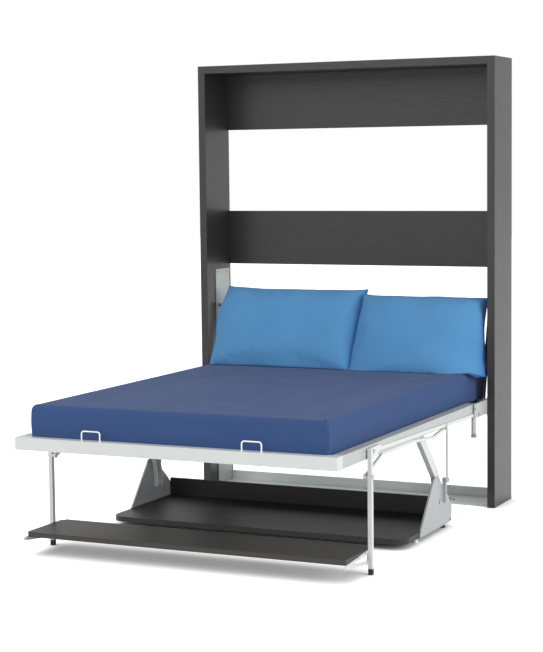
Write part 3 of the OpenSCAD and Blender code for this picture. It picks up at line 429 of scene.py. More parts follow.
def weave(finish, turn, pitch):
    """Over and under threads of a plain weave on every side, from -1 to 1."""
    x, y, z = [axis * (math.pi / pitch) for axis in finish.axes(finish.place(turn=turn))]
    return (x.sine() * y.sine() + y.sine() * z.sine() + z.sine() * x.sine()) * 0.5


def cloth_finish(name, chip, lean, pitch, rim=None):
    """Plain woven cotton. The threads lie along the piece, which leans by the given angle.

    The painted shade of the rim, if any, shows by the attribute that marks the seams.
    """
    finish = Finish(name, {"Sheen Weight": 0.07, "Sheen Roughness": 0.5, "Specular IOR Level": 0.2})
    turn = (-lean, 0, 0)
    threads = weave(finish, turn, pitch)
    slubs_x = finish.noise(finish.place((26, 700, 500), turn), 1.0, 3.0, 0.6)
    slubs_y = finish.noise(finish.place((700, 26, 26), turn), 1.0, 3.0, 0.6)
    cloud = finish.noise(finish.place((1, 1, 1), turn), 4.0, 3.0)
    slubs = slubs_x * 0.5 + slubs_y * 0.5
    share = slubs * 0.55 + cloud * 0.3 + threads * 0.15
    colour = finish.blend(share, shade(chip, 0.8), shade(chip, 1.22))
    # Painted shade: the rim colour deepens the cloth near the seams of a case
    if rim:
        near = finish.node("ShaderNodeAttribute", {"attribute_name": "rim"}, {}, "Fac")
        colour = finish.blend(near * near, colour, shade(rim, 1.0))
    relief = finish.bump(threads * 0.6 + slubs, 0.00035)
    return finish.wear(colour, 0.82 + slubs * 0.14, relief)


# ---- Looks ----

# The maker of each material, its colour, the maker's other values and the slot in the frame
LOOKS = {
    "board_upright": (board_finish, "board", (UPRIGHT_GRAIN,), "dark_board"),
    "board_across": (board_finish, "board", (ACROSS_GRAIN,), "dark_board"),
    "birch": (birch_finish, "slat", (), "slat_wood"),
    # Painted light: the floor rail's light grey coat is lifted almost to white against the shade under
    # the bed
    "floor_rail_paint": (paint_finish, "rail_grey", (), "rail_grey"),
    "plate_paint": (paint_finish, "plate_grey", (), "plate_grey"),
    "bed_paint": (paint_finish, "bed_paint", (), "bed_paint"),
    # Painted shade: the side rails wear a darker copy of the bed frame's powder coat
    "side_paint": (paint_finish, "side_paint", (), "bed_paint"),
    "link_paint": (paint_finish, "link_paint", (), "link_paint"),
    "bracket_white": (paint_finish, "bed_paint", (), "bracket_paint"),
    "bracket_paint": (paint_finish, "bracket_paint", (), "bracket_paint"),
    "zinc": (zinc_finish, "zinc", (), "zinc"),
    "rod_chrome": (zinc_finish, "zinc", (), "spring_rod"),
    "cylinder_paint": (laminate_finish, "cylinder", (0.3,), "spring_black"),
    "shelf_laminate": (laminate_finish, "shelf", (0.4,), "shelf_laminate"),
    "desk_laminate": (laminate_finish, "desk", (0.36,), "desk_laminate"),
    "holder_plastic": (moulded_finish, "plastic", (0.5, 0.0001), "holder_plastic"),
    "wire_coat": (moulded_finish, "wire", (0.28, 0.00004), "wire_paint"),
    "rubber": (moulded_finish, "rubber", (0.62, 0.00012), "foot_rubber"),
}


@cache
def look(name):
    """The material of a look in the user's colour, made the first time that it is asked for.

    It isn't looked up by its name, because the frame has plain materials of the same names.
    """
    maker, chip, values, _ = LOOKS[name]
    return maker(name, tuple(getattr(bpy.context.scene.wall_bed_colours, chip)), *values)


# ---- Modelling ----

# Shares of a disc's height or radius: its top rim, domes, and the width and middle of a socket
TOP_SHARE = 0.9
HEAD_DOME = 0.55
CAP_DOME = 0.6
SOCKET_WIDTH = 0.42
SOCKET_MIDDLE = 0.95


def both(name):
    """The names of a left-hand and a right-hand part."""
    return [f"{name}_{side}" for side in SIDES]


def only(*pieces):
    """Selects these objects alone and makes the first one active."""
    bpy.ops.object.select_all(action="DESELECT")
    for piece in pieces:
        piece.select_set(True)
    bpy.context.view_layer.objects.active = pieces[0]


def put(name, data):
    """A new object in the scene."""
    made = bpy.data.objects.new(name, data)
    bpy.context.scene.collection.objects.link(made)
    return made


def new_piece(name, scale=None):
    """Names the primitive that was just added, with its place and size moved into its mesh."""
    piece = bpy.context.active_object
    piece.name = name
    piece.data.name = name
    if scale:
        piece.scale = scale
    bpy.ops.object.transform_apply(location=True, rotation=True, scale=True)
    return piece


def edit(piece, select=None):
    """Opens a piece in edit mode with the elements that a test picks by their place."""
    only(piece)
    bpy.ops.object.mode_set(mode="EDIT")
    bpy.ops.mesh.select_mode(type="EDGE")
    bpy.ops.mesh.select_all(action="DESELECT" if select else "SELECT")
    if select:
        mesh = bmesh.from_edit_mesh(piece.data)
        for edge in mesh.edges:
            if select(*[v.co for v in edge.verts]):
                edge.select_set(True)
        mesh.select_flush_mode()
        bmesh.update_edit_mesh(piece.data)


def close_edit():
    """Leaves edit mode."""
    bpy.ops.object.mode_set(mode="OBJECT")


def round_off(piece, select, radius, segments):
    """Rounds the edges that a test picks by the places of their ends."""
    edit(piece, select)
    bpy.ops.mesh.bevel(offset=radius, segments=segments)
    close_edit()


def assign(target, settings):
    """Sets each named property."""
    for name, value in settings.items():
        setattr(target, name, value)


def apply(piece, kind, **settings):
    """Adds a modifier to a piece and applies it."""
    only(piece)
    modifier = piece.modifiers.new(kind.title(), kind)
    assign(modifier, settings)
    bpy.ops.object.modifier_apply(modifier=modifier.name)


def smooth(piece):
    """Shades a piece smooth all over."""
    only(piece)
    bpy.ops.object.shade_smooth()


def smooth_to_edges(piece):
    """Shades a piece smooth up to its sharp edges."""
    only(piece)
    bpy.ops.object.shade_smooth_by_angle(angle=SHARP_ANGLE)


def move_points(piece, rule):
    """Moves each point of a piece by a rule on its place."""
    mesh = piece.data
    for vertex in mesh.vertices:
        vertex.co = rule(vertex.co)
    mesh.update()


def finish_piece(piece, material, slot, body, *nodes):
    """Gives a piece its material and its body, and hides the frame parts that it stands for."""
    piece.data.materials.clear()
    piece.data.materials.append(material)
    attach(piece, body)
    if nodes:
        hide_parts(*nodes)


def body_of(node):
    """The body that a frame part rides on."""
    return frame["nodes"][node]["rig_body"]


def copy_part(node, name):
    """A copy of a frame part as one clean closed mesh with flat faces made whole."""
    piece = put(name, frame["nodes"][node].data.copy())
    only(piece)
    bpy.ops.mesh.customdata_custom_splitnormals_clear()
    edit(piece)
    bpy.ops.mesh.remove_doubles(threshold=WELD)
    bpy.ops.mesh.dissolve_limited(angle_limit=FLAT_ANGLE)
    close_edit()
    return piece


def ease_edges(piece, width, steps, least):
    """Rounds the sharp edges of a piece that are at least so long."""
    mesh = bmesh.new()
    mesh.from_mesh(piece.data)
    weight = mesh.edges.layers.float.new("bevel_weight_edge")
    for edge in mesh.edges:
        sharp = len(edge.link_faces) == 2 and edge.calc_face_angle() > SHARP_ANGLE
        edge[weight] = float(sharp and edge.calc_length() >= least)
    mesh.to_mesh(piece.data)
    mesh.free()
    apply(piece, "BEVEL", limit_method="WEIGHT", width=width, segments=steps, profile=0.5)
    apply(piece, "TRIANGULATE", min_vertices=5)
    smooth_to_edges(piece)
    apply(piece, "WEIGHTED_NORMAL", keep_sharp=True, weight=100)


def ease(nodes, width, name, steps=2, least=0.0, slot=None):
    """Shows frame parts as copies with eased edges, all in one look."""
    for node in nodes:
        piece = copy_part(node, f"eased_{node}")
        ease_edges(piece, width, steps, least)
        finish_piece(piece, look(name), slot or LOOKS[name][-1], body_of(node), node)


def solids(node):
    """Lowest and highest corner of each separate solid of a frame part."""
    mesh = bmesh.new()
    mesh.from_mesh(frame["nodes"][node].data)
    bmesh.ops.remove_doubles(mesh, verts=mesh.verts, dist=WELD)
    left = set(mesh.verts)
    boxes = []
    while left:
        group = [left.pop()]
        for vertex in group:
            near = {edge.other_vert(vertex) for edge in vertex.link_edges} & left
            left -= near
            group.extend(near)
        points = np.array([vertex.co for vertex in group])
        boxes.append((Vector(points.min(0)), Vector(points.max(0))))
    mesh.free()
    return sorted(boxes, key=lambda box: tuple(box[0]))


def disc(name, sides, radius, height, middle):
    """An upright prism with its middle at a height above the origin."""
    bpy.ops.object.select_all(action="DESELECT")
    bpy.ops.mesh.primitive_cylinder_add(
        vertices=sides, radius=radius, depth=height, location=(0, 0, middle)
    )
    return new_piece(name)


def domed_disc(name, sides, radius, height, dome):
    """A disc that stands on the origin, with its top rim rounded by a share of its height."""
    piece = disc(name, sides, radius, height, height / 2)
    round_off(piece, lambda a, b: min(a.z, b.z) > height * TOP_SHARE, height * dome, 3)
    return piece


def socket_head(radius, height):
    """A domed screw head with a hexagon socket, standing on the origin."""
    head = domed_disc("socket_head", 24, radius, height, HEAD_DOME)
    cutter = disc("socket_cutter", 6, radius * SOCKET_WIDTH, height, height * SOCKET_MIDDLE)
    apply(head, "BOOLEAN", operation="DIFFERENCE", object=cutter, solver="EXACT")
    bpy.data.objects.remove(cutter)
    smooth_to_edges(head)
    return head


def plant(name, template, places):
    """Copies of one mesh at each place, joined, without the one that they were copied from."""
    copies = []
    for matrix in places:
        copy = put(name, template.data.copy())
        copy.data.transform(matrix)
        copies.append(copy)
    only(*copies)
    bpy.ops.object.join()
    bpy.data.objects.remove(template)
    return copies[0]


def facing(direction, point):
    """The matrix that stands a piece on a point with its top to the given direction."""
    return Matrix.Translation(point) @ direction.to_track_quat("Z", "Y").to_matrix().to_4x4()


def run_line(name, points, radius):
    """A round line along points, as a mesh."""
    curve = bpy.data.curves.new(name, "CURVE")
    curve.dimensions = "3D"
    curve.bevel_depth = radius
    curve.bevel_resolution = 2
    curve.use_fill_caps = True
    line = curve.splines.new("POLY")
    line.points.add(len(points) - 1)
    for spot, point in zip(line.points, points):
        spot.co = (*point, 1)
    piece = put(name, curve)
    only(piece)
    bpy.ops.object.convert(target="MESH")
    smooth(piece)
    return piece


# ---- Cabinet ----


class WALLBED_OT_cabinet(Operator):
    """Side panels, top and back boards with eased, banded edges"""

    bl_idname = "wall_bed.cabinet"
    bl_label = "Cabinet"

    def execute(self, context):
        sizes = context.scene.wall_bed_sizes
        width = sizes.board_ease
        across = ["cabinet_top", "back_board_top", "back_board_middle"]
        ease(both("cabinet_side"), width, "board_upright", least=BOARD_LEAST)
        ease(across, width, "board_across", least=BOARD_LEAST)
        ease(["cabinet_dowels"], width / 2, "birch", slot="dowel_wood")
        self.caps(sizes)
        return {"FINISHED"}

    def caps(self, sizes):
        """Board-coloured caps over the holes for the wall bolts."""
        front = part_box("back_board_top")[0].y
        places = []
        for x in (-sizes.bolt_spread, sizes.bolt_spread):
            for z in (sizes.bolt_height - sizes.bolt_rise, sizes.bolt_height + sizes.bolt_rise):
                places.append(facing(Vector((0, -1, 0)), Vector((x, front, z))))
        cap = domed_disc("bolt_cap", 32, sizes.cap_radius, sizes.cap_thickness, CAP_DOME)
        smooth_to_edges(cap)
        caps = plant("bolt_caps", cap, places)
        finish_piece(caps, look("board_across"), "dark_board", "cabinet")


class WALLBED_OT_floor_rail(Operator):
    """Folded rail on the floor and its bolts"""

    bl_idname = "wall_bed.floor_rail"
    bl_label = "Floor Rail"

    def execute(self, context):
        sizes = context.scene.wall_bed_sizes
        ease(["floor_rail"], sizes.sheet_ease, "floor_rail_paint", least=BOARD_LEAST)
        ease(["floor_bolts"], sizes.pin_ease, "zinc", least=BOLT_LEAST)
        return {"FINISHED"}


class WALLBED_OT_mechanism(Operator):
    """Mechanism plates, their screws and the pins that they carry"""

    bl_idname = "wall_bed.mechanism"
    bl_label = "Mechanism Plates"

    def execute(self, context):
        sizes = context.scene.wall_bed_sizes
        ease(both("mechanism_plate"), sizes.sheet_ease, "plate_paint", least=PLATE_LEAST)
        ease(["bed_pivot_pins", "bar_pivot_pins", "spring_top_studs"], sizes.pin_ease, "zinc")
        self.screws()
        return {"FINISHED"}

    def screws(self):
        """Socket heads in place of the plain heads of the plate screws."""
        plate_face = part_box("mechanism_plate_right")[0].x
        places = []
        radius = height = 0
        for low, high in solids("plate_screws"):
            side = 1 if low.x > 0 else -1
            middle = (low + high) / 2
            radius = (high.z - low.z) / 2
            height = plate_face - min(abs(low.x), abs(high.x))
            point = Vector((side * plate_face, middle.y, middle.z))
            places.append(facing(Vector((-side, 0, 0)), point))
        heads = plant("plate_screw_heads", socket_head(radius, height), places)
        finish_piece(heads, look("zinc"), "zinc", "cabinet", "plate_screws")


class WALLBED_OT_gas_springs(Operator):
    """Gas cylinders and their polished rods"""

    bl_idname = "wall_bed.gas_springs"
    bl_label = "Gas Springs"

    def execute(self, context):
        sizes = context.scene.wall_bed_sizes
        ease(both("gas_cylinder"), sizes.pin_ease, "cylinder_paint")
        ease(both("gas_rod"), sizes.pin_ease, "rod_chrome")
        return {"FINISHED"}


# ---- Bed ----


class WALLBED_OT_bed_frame(Operator):
    """Rails, cross members, pivot plates and bolts of the bed"""

    bl_idname = "wall_bed.bed_frame"
    bl_label = "Bed Frame"

    def execute(self, context):
        sizes = context.scene.wall_bed_sizes
        bend = sizes.bend_ease
        # The side rails get painted shade: a darker copy of the frame's powder coat
        ease(both("bed_rail"), bend, "side_paint", steps=3, least=RAIL_LEAST)
        ease(["bed_rail_foot", "bed_rail_head"], bend, "bed_paint", steps=3, least=RAIL_LEAST)
        ease(["cross_members"], bend, "bed_paint", least=RAIL_LEAST)
        ease(both("pivot_plate"), sizes.sheet_ease, "plate_paint", least=PLATE_LEAST)
        ease(["frame_bolts"], sizes.pin_ease, "zinc")
        return {"FINISHED"}


class WALLBED_OT_slats(Operator):
    """Slats in their holders and the boards that close the underside"""

    bl_idname = "wall_bed.slats"
    bl_label = "Slats"

    def execute(self, context):
        sizes = context.scene.wall_bed_sizes
        ease(["slats"], sizes.laminate_ease, "birch", steps=3)
        ease(["slat_holders"], sizes.board_ease, "holder_plastic")
        ease(["face_boards"], sizes.board_ease, "board_across")
        return {"FINISHED"}


class WALLBED_OT_retainers(Operator):
    """Coated wire loops that hold the mattress at the foot"""

    bl_idname = "wall_bed.retainers"
    bl_label = "Mattress Retainers"

    def execute(self, context):
        sizes = context.scene.wall_bed_sizes
        ease(["mattress_retainers"], sizes.sheet_ease, "wire_coat")
        return {"FINISHED"}


class WALLBED_OT_stays(Operator):
    """Stays and desk arms under the rails"""

    bl_idname = "wall_bed.stays"
    bl_label = "Stays and Desk Arms"

    def execute(self, context):
        sizes = context.scene.wall_bed_sizes
        ease(both("side_stay"), sizes.tube_ease, "link_paint", steps=3, least=RAIL_LEAST)
        ease(both("desk_arm"), sizes.bend_ease, "link_paint", steps=3, least=RAIL_LEAST)
        ease(["leg_pivot_pins", "desk_pivot_pins"], sizes.pin_ease, "zinc")
        return {"FINISHED"}


# ---- Linkage, legs, shelf and desk ----


class WALLBED_OT_linkage(Operator):
    """Levelling bars and upright control rods"""

    bl_idname = "wall_bed.linkage"
    bl_label = "Levelling Linkage"

    def execute(self, context):
        sizes = context.scene.wall_bed_sizes
        ease(both("levelling_bar") + both("control_rod"), sizes.sheet_ease, "link_paint")
        return {"FINISHED"}


class WALLBED_OT_legs(Operator):
    """Legs with their rubber feet"""

    bl_idname = "wall_bed.legs"
    bl_label = "Legs"

    def execute(self, context):
        sizes = context.scene.wall_bed_sizes
        ease(both("leg"), sizes.tube_ease, "link_paint", steps=3, least=RAIL_LEAST)
        ease(["leg_feet"], sizes.tube_ease, "rubber", steps=3)
        ease(["leg_link_pins"], sizes.pin_ease, "zinc")
        return {"FINISHED"}


class WALLBED_OT_shelf(Operator):
    """Shelf on its triangular brackets"""

    bl_idname = "wall_bed.shelf"
    bl_label = "Shelf"

    def execute(self, context):
        sizes = context.scene.wall_bed_sizes
        ease(["shelf_board"], sizes.laminate_ease, "shelf_laminate", steps=3)
        ease(both("shelf_bracket"), sizes.sheet_ease, "bracket_white")
        ease(["shelf_screws"], sizes.pin_ease, "zinc")
        return {"FINISHED"}


class WALLBED_OT_desk(Operator):
    """Desk top, upstand, brackets and feet"""

    bl_idname = "wall_bed.desk"
    bl_label = "Desk"

    def execute(self, context):
        sizes = context.scene.wall_bed_sizes
        ease(["desk_top", "desk_upstand"], sizes.laminate_ease, "desk_laminate", steps=3)
        ease(both("desk_bracket"), sizes.sheet_ease, "bracket_paint", least=BRACKET_LEAST)
        self.feet(sizes)
        ease(["desk_link_pins", "desk_screws"], sizes.pin_ease, "zinc")
        return {"FINISHED"}

    def feet(self, sizes):
        """Black rubber feet at the back of the desk and white ones at its front."""
        low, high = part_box("desk_top")
        every = copy_part("desk_feet", "eased_desk_feet")
        ease_edges(every, sizes.pin_ease, 2, 0.0)
        only(every)
        bpy.ops.mesh.separate(type="LOOSE")
        for foot in bpy.context.selected_objects:
            front = foot.data.vertices[0].co.y < (low.y + high.y) / 2
            material = look("wire_coat" if front else "rubber")
            finish_piece(foot, material, "foot_rubber", "desk_unit", "desk_feet")


# ---- Mattress and pillows ----

# Folds of the stretched sheet: how far out they die away and start, how tightly they fan, how far
# and how often they bend, the height and pace of slow waves, and how far in from a side they show
FOLD_FADE = 0.13
FOLD_START = 0.05
FOLD_FAN = 15
FOLD_BEND = 2.4
FOLD_BENDS = 9
DRIFT = 0.0016
DRIFT_PACE = (2.2, 2.2, 5.0)
SIDE_REACH = 0.03

# Darts at the corners of the sheet: steps, lower end, upper end as a share of the top edge's
# radius, where and how fast they lean in at the top, and radius of the thread
DART_STEPS = 24
DART_START = 0.012
DART_END = 0.4
DART_TURN = 0.84
DART_LEAN = 0.4
DART_RADIUS = 0.0014

# Pillow cases: gap of the flat case, width of the rim with painted shade, half of the least
# thickness, how full the rough shape is and how steeply it fills up, lumps of the filling, height
# and pace of the puckers along the seams, and slow waves
CASE_GAP = 0.004
RIM_SHADE_REACH = 0.03
HALF_LEAST = 0.001
PLUMP = 0.92
FULL_CURVE = 0.55
LUMP = 0.1
PUCKER = 0.0025
PUCKER_PACE = 34
WAVE = 0.012

# How the cloth of a case takes its filling
FILLING = {
    "quality": 6, "mass": 0.25, "tension_stiffness": 22, "compression_stiffness": 22,
    "shear_stiffness": 8, "bending_stiffness": 0.35, "use_pressure": True,
    "uniform_pressure_force": 4.0, "shrink_min": -0.03,
}

# A resting pillow: its gap to the mattress, and where and how steeply it hangs past the edge
REST_GAP = 0.0015
HANG_START = 0.01
HANG_SLOPE = 0.6


def bell(value, middle, width):
    """1 at the middle, and less the further a value is from it."""
    return math.exp(-(((value - middle) / width) ** 2))


def rim_distance(point, low, high):
    """How far a point lies inside the nearest upright side of a box."""
    return min(point.x - low.x, high.x - point.x, point.y - low.y, high.y - point.y)


class WALLBED_OT_mattress(Operator):
    """Crowned mattress in a fitted sheet, with a seam at each upright corner"""

    bl_idname = "wall_bed.mattress"
    bl_label = "Mattress"

    def execute(self, context):
        sizes = context.scene.wall_bed_sizes
        low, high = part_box("mattress")
        low.y -= sizes.mattress_foot
        high.y += sizes.mattress_head
        chip = tuple(context.scene.wall_bed_colours.mattress)
        cloth = cloth_finish("mattress_cotton", chip, 0.0, MATTRESS_THREAD)
        mattress = self.block(low, high, sizes)
        move_points(mattress, lambda p: self.settle(p, low, high, sizes))
        move_points(mattress, lambda p: self.fold(p, low, high, sizes))
        smooth(mattress)
        finish_piece(mattress, cloth, "mattress_cloth", "bed", "mattress")
        self.seams(low, high, sizes, cloth)
        return {"FINISHED"}

    def block(self, low, high, sizes):
        """The foam block with all its edges rounded, cut into even faces."""
        bpy.ops.object.select_all(action="DESELECT")
        bpy.ops.mesh.primitive_cube_add(size=1, location=(low + high) / 2, scale=high - low)
        block = new_piece("mattress_in_sheet")
        round_off(block, lambda a, b: abs(a.z - b.z) > WELD, sizes.mattress_corner, 5)
        round_off(block, lambda a, b: min(a.z, b.z) > high.z - WELD, sizes.mattress_edge, 6)
        round_off(block, lambda a, b: max(a.z, b.z) < low.z + WELD, sizes.mattress_edge / 3, 2)
        edit(block)
        self.cut(low, high, sizes.mattress_grid)
        close_edit()
        return block

    def cut(self, low, high, step):
        """Cuts everything in the block by evenly spaced planes along each axis."""
        for axis in range(3):
            count = round((high[axis] - low[axis]) / step)
            for i in range(1, count):
                point, normal = Vector(low), Vector()
                point[axis] += (high[axis] - low[axis]) * i / count
                normal[axis] = 1
                bpy.ops.mesh.select_all(action="SELECT")
                bpy.ops.mesh.bisect(plane_co=point, plane_no=normal)

    def settle(self, point, low, high, sizes):
        """Lowers the top towards its edges and swells the sides a little at half height."""
        moved = point.copy()
        share = (point.z - low.z) / (high.z - low.z)
        inside = min(rim_distance(point, low, high) / ((high.x - low.x) / 2), 1)
        moved.z -= share * sizes.mattress_crown * (1 - inside) ** 2
        swell = sizes.mattress_swell * math.sin(math.pi * share)
        middle = (low + high) / 2
        for axis in (0, 1):
            half = (high[axis] - low[axis]) / 2
            moved[axis] += swell * (point[axis] - middle[axis]) / half
        return moved

    def fold(self, point, low, high, sizes):
        """Folds of the stretched sheet: they fan out from the corners and die away."""
        corners = [Vector((x, y, low.z)) for x in (low.x, high.x) for y in (low.y, high.y)]
        corner = min(corners, key=lambda c: (c.xy - point.xy).length)
        away = (corner.xy - point.xy).length
        fade = math.exp(-away / FOLD_FADE) * min(away / FOLD_START, 1)
        rise = math.atan2(point.z - low.z, away + 0.01)
        ripple = math.sin(rise * FOLD_FAN + noise.noise(point * FOLD_BENDS) * FOLD_BEND)
        drift = noise.noise(point * Vector(DRIFT_PACE)) * DRIFT
        middle = (low + high) / 2
        outward = Vector((point.x - middle.x, point.y - middle.y, 0)).normalized()
        side = 1 - min(max(rim_distance(point, low, high), 0) / SIDE_REACH, 1)
        lift = Vector((0, 0, drift * (1 - side) * (point.z > middle.z)))
        return point + outward * (ripple * fade * sizes.sheet_fold * side + drift * side) + lift

    def seams(self, low, high, sizes, cloth):
        """A sewn dart up each corner of the sheet."""
        sunk = sizes.mattress_corner * (1 - math.sqrt(0.5))
        start = low.z + DART_START
        rise = high.z - sizes.mattress_crown - sizes.mattress_edge * DART_END - start
        for number, (x, y) in enumerate([(a, b) for a in (-1, 1) for b in (-1, 1)]):
            corner = Vector(((low.x, high.x)[x > 0], (low.y, high.y)[y > 0], low.z))
            inward = Vector((-x, -y, 0))
            points = []
            for i in range(DART_STEPS + 1):
                share = i / DART_STEPS
                height = start + rise * share
                swell = sizes.mattress_swell * math.sin(math.pi * share)
                lean_in = max(share - DART_TURN, 0) ** 2 * DART_LEAN
                shift = inward * (sunk - swell + lean_in)
                points.append(Vector((corner.x, corner.y, height)) + shift)
            seam = run_line(f"sheet_seam_{number}", points, DART_RADIUS)
            finish_piece(seam, cloth, "mattress_cloth", "bed")


class WALLBED_OT_pillows(Operator):
    """Two filled pillow cases that lean at the head of the bed"""

    bl_idname = "wall_bed.pillows"
    bl_label = "Pillows"

    def execute(self, context):
        sizes = context.scene.wall_bed_sizes
        chip = tuple(context.scene.wall_bed_colours.pillow)
        # The rim colour is painted shade along the seams of the cases
        rim = tuple(context.scene.wall_bed_colours.pillow_rim)
        places = {
            "left": (sizes.left_pillow, sizes.left_width, sizes.left_lean, self.bow, 3.0),
            "right": (sizes.right_pillow, sizes.right_width, sizes.right_lean, self.swing, 8.0),
        }
        for side, (top, width, lean, press, seed) in places.items():
            node = f"pillow_{side}"
            cloth = cloth_finish(f"pillow_cotton_{side}", chip, lean, PILLOW_THREAD, rim)
            pillow = self.sew(f"pillow_case_{side}", width, press, seed, sizes)
            self.lean(pillow, Vector(top), lean, sizes)
            smooth(pillow)
            finish_piece(pillow, cloth, "pillow_cloth", "bed", node)
            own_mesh(pillow)
        return {"FINISHED"}

    def bow(self, u, v, sizes):
        """How the left pillow bulges out beside its upper half, where u and v run from -1 to 1."""
        return Vector((-sizes.pillow_bow * max(-u, 0) ** 3 * bell(v, 0.25, 0.5), 0, 0))

    def swing(self, u, v, sizes):
        """How the right pillow swings back along the cabinet and spreads towards the other."""
        back = sizes.pillow_swing * max(u, 0) ** 3 * (0.2 + 0.8 * bell(v, -0.4, 0.6))
        return Vector((-sizes.pillow_spread * max(-u, 0) ** 2 * (1 - v) / 2, 0, -back))

    def sew(self, name, width, press, seed, sizes):
        """Two sheets of cloth joined round their rim and filled."""
        length = sizes.pillow_length
        across, along = [round(side / sizes.pillow_grid) for side in (width, length)]
        bpy.ops.object.select_all(action="DESELECT")
        bpy.ops.mesh.primitive_grid_add(x_subdivisions=across, y_subdivisions=along, size=1)
        pillow = new_piece(name, (width, length, 1))
        edit(pillow)
        bpy.ops.mesh.extrude_region_move(TRANSFORM_OT_translate={"value": (0, 0, CASE_GAP)})
        bpy.ops.mesh.select_all(action="SELECT")
        bpy.ops.mesh.normals_make_consistent(inside=False)
        close_edit()
        self.mark_rim(pillow, width, length)
        move_points(pillow, lambda p: self.plump(p, width, length, press, seed, sizes))
        self.fill(pillow, sizes)
        apply(pillow, "SUBSURF", levels=1, render_levels=1)
        return pillow

    def mark_rim(self, pillow, width, length):
        """Stores how near each point of the case lies to its seams, from 0 to 1, which sets its painted
        shade.
        """
        rim = pillow.data.attributes.new("rim", "FLOAT", "POINT")
        for vertex, mark in zip(pillow.data.vertices, rim.data):
            inside = min(width / 2 - abs(vertex.co.x), length / 2 - abs(vertex.co.y))
            mark.value = 1 - min(max(inside / RIM_SHADE_REACH, 0), 1)

    def plump(self, point, width, length, press, seed, sizes):
        """The rough shape of the filling, with the case drawn in a little between its corners."""
        u = max(min(point.x / (width / 2), 1), -1)
        v = max(min(point.y / (length / 2), 1), -1)
        full = ((1 - abs(u) ** 4) * (1 - abs(v) ** 3)) ** FULL_CURVE
        side = 1 if point.z > CASE_GAP / 2 else -1
        lump = 1 + LUMP * noise.noise(Vector((u * 1.3, v * 1.1, seed + side)))
        height = side * (HALF_LEAST + sizes.pillow_full / 2 * PLUMP * full * lump)
        x = point.x - sizes.pillow_draw * (1 - v * v) * u * abs(u)
        y = point.y - sizes.pillow_draw * (1 - u * u) * v * abs(v)
        wave = noise.noise(Vector((u * 2.0, v * 2.0, seed * 3)))
        crease = noise.noise(Vector((point.x * PUCKER_PACE, point.y * PUCKER_PACE, seed)))
        pucker = PUCKER * crease * (1 - full)
        lifted = Vector((x, y, height + pucker + WAVE * wave * (1 - 0.5 * full)))
        return lifted + press(u, v, sizes)

    def fill(self, pillow, sizes):
        """Blows the case up as cloth and keeps each point within its give."""
        before = [vertex.co.copy() for vertex in pillow.data.vertices]
        only(pillow)
        cloth = pillow.modifiers.new("Filling", "CLOTH")
        assign(cloth.settings, FILLING)
        cloth.settings.effector_weights.gravity = 0
        cloth.collision_settings.use_collision = False
        cloth.point_cache.frame_start = 1
        cloth.point_cache.frame_end = sizes.fill_frames
        for step in range(1, sizes.fill_frames + 1):
            bpy.context.scene.frame_set(step)
        bpy.ops.object.modifier_apply(modifier=cloth.name)
        bpy.context.scene.frame_set(1)
        for vertex, start in zip(pillow.data.vertices, before):
            way = vertex.co - start
            if way.length > sizes.pillow_give:
                vertex.co = start + way * (sizes.pillow_give / way.length)
        pillow.data.update()

    def lean(self, pillow, top, angle, sizes):
        """Leans a pillow with its upper seam at its place and lays its foot flat on the mattress."""
        tilt = Matrix.Rotation(angle, 4, "X")
        hang = Matrix.Translation((0, -sizes.pillow_length / 2, 0))
        pillow.data.transform(Matrix.Translation(top) @ tilt @ hang)
        low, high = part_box("mattress")
        half = (high.x - low.x) / 2

        def rest(point):
            over = rim_distance(point, low, high)
            inside = min(max(over, 0) / half, 1)
            floor = high.z - sizes.mattress_crown * (1 - inside) ** 2 + REST_GAP
            floor -= HANG_SLOPE * max(-over - HANG_START, 0)
            point.z = max(point.z, floor)
            return point

        move_points(pillow, rest)


# ---- Stage ----

# Name, place, the point that it faces, side of the square in metres and watts of each lamp
LAMPS = (
    ("key_light", (-2.6, -5.4, 4.6), (0, -0.4, 0.7), 3.6, 150),
    ("right_light", (6.4, -1.2, 2.6), (0.4, 0, 0.9), 3.2, 230),
    ("low_light", (0.6, -6.2, 0.9), (0, 0.4, 0.3), 2.4, 52),
)

# Colours of the lit background and of the floor, and the camera's frame in millimetres and
# furthest view in metres
WHITE = (1, 1, 1, 1)
PALE = (0.8, 0.8, 0.8, 1)
FRAME_WIDTH = 36
FAR_CLIP = 200


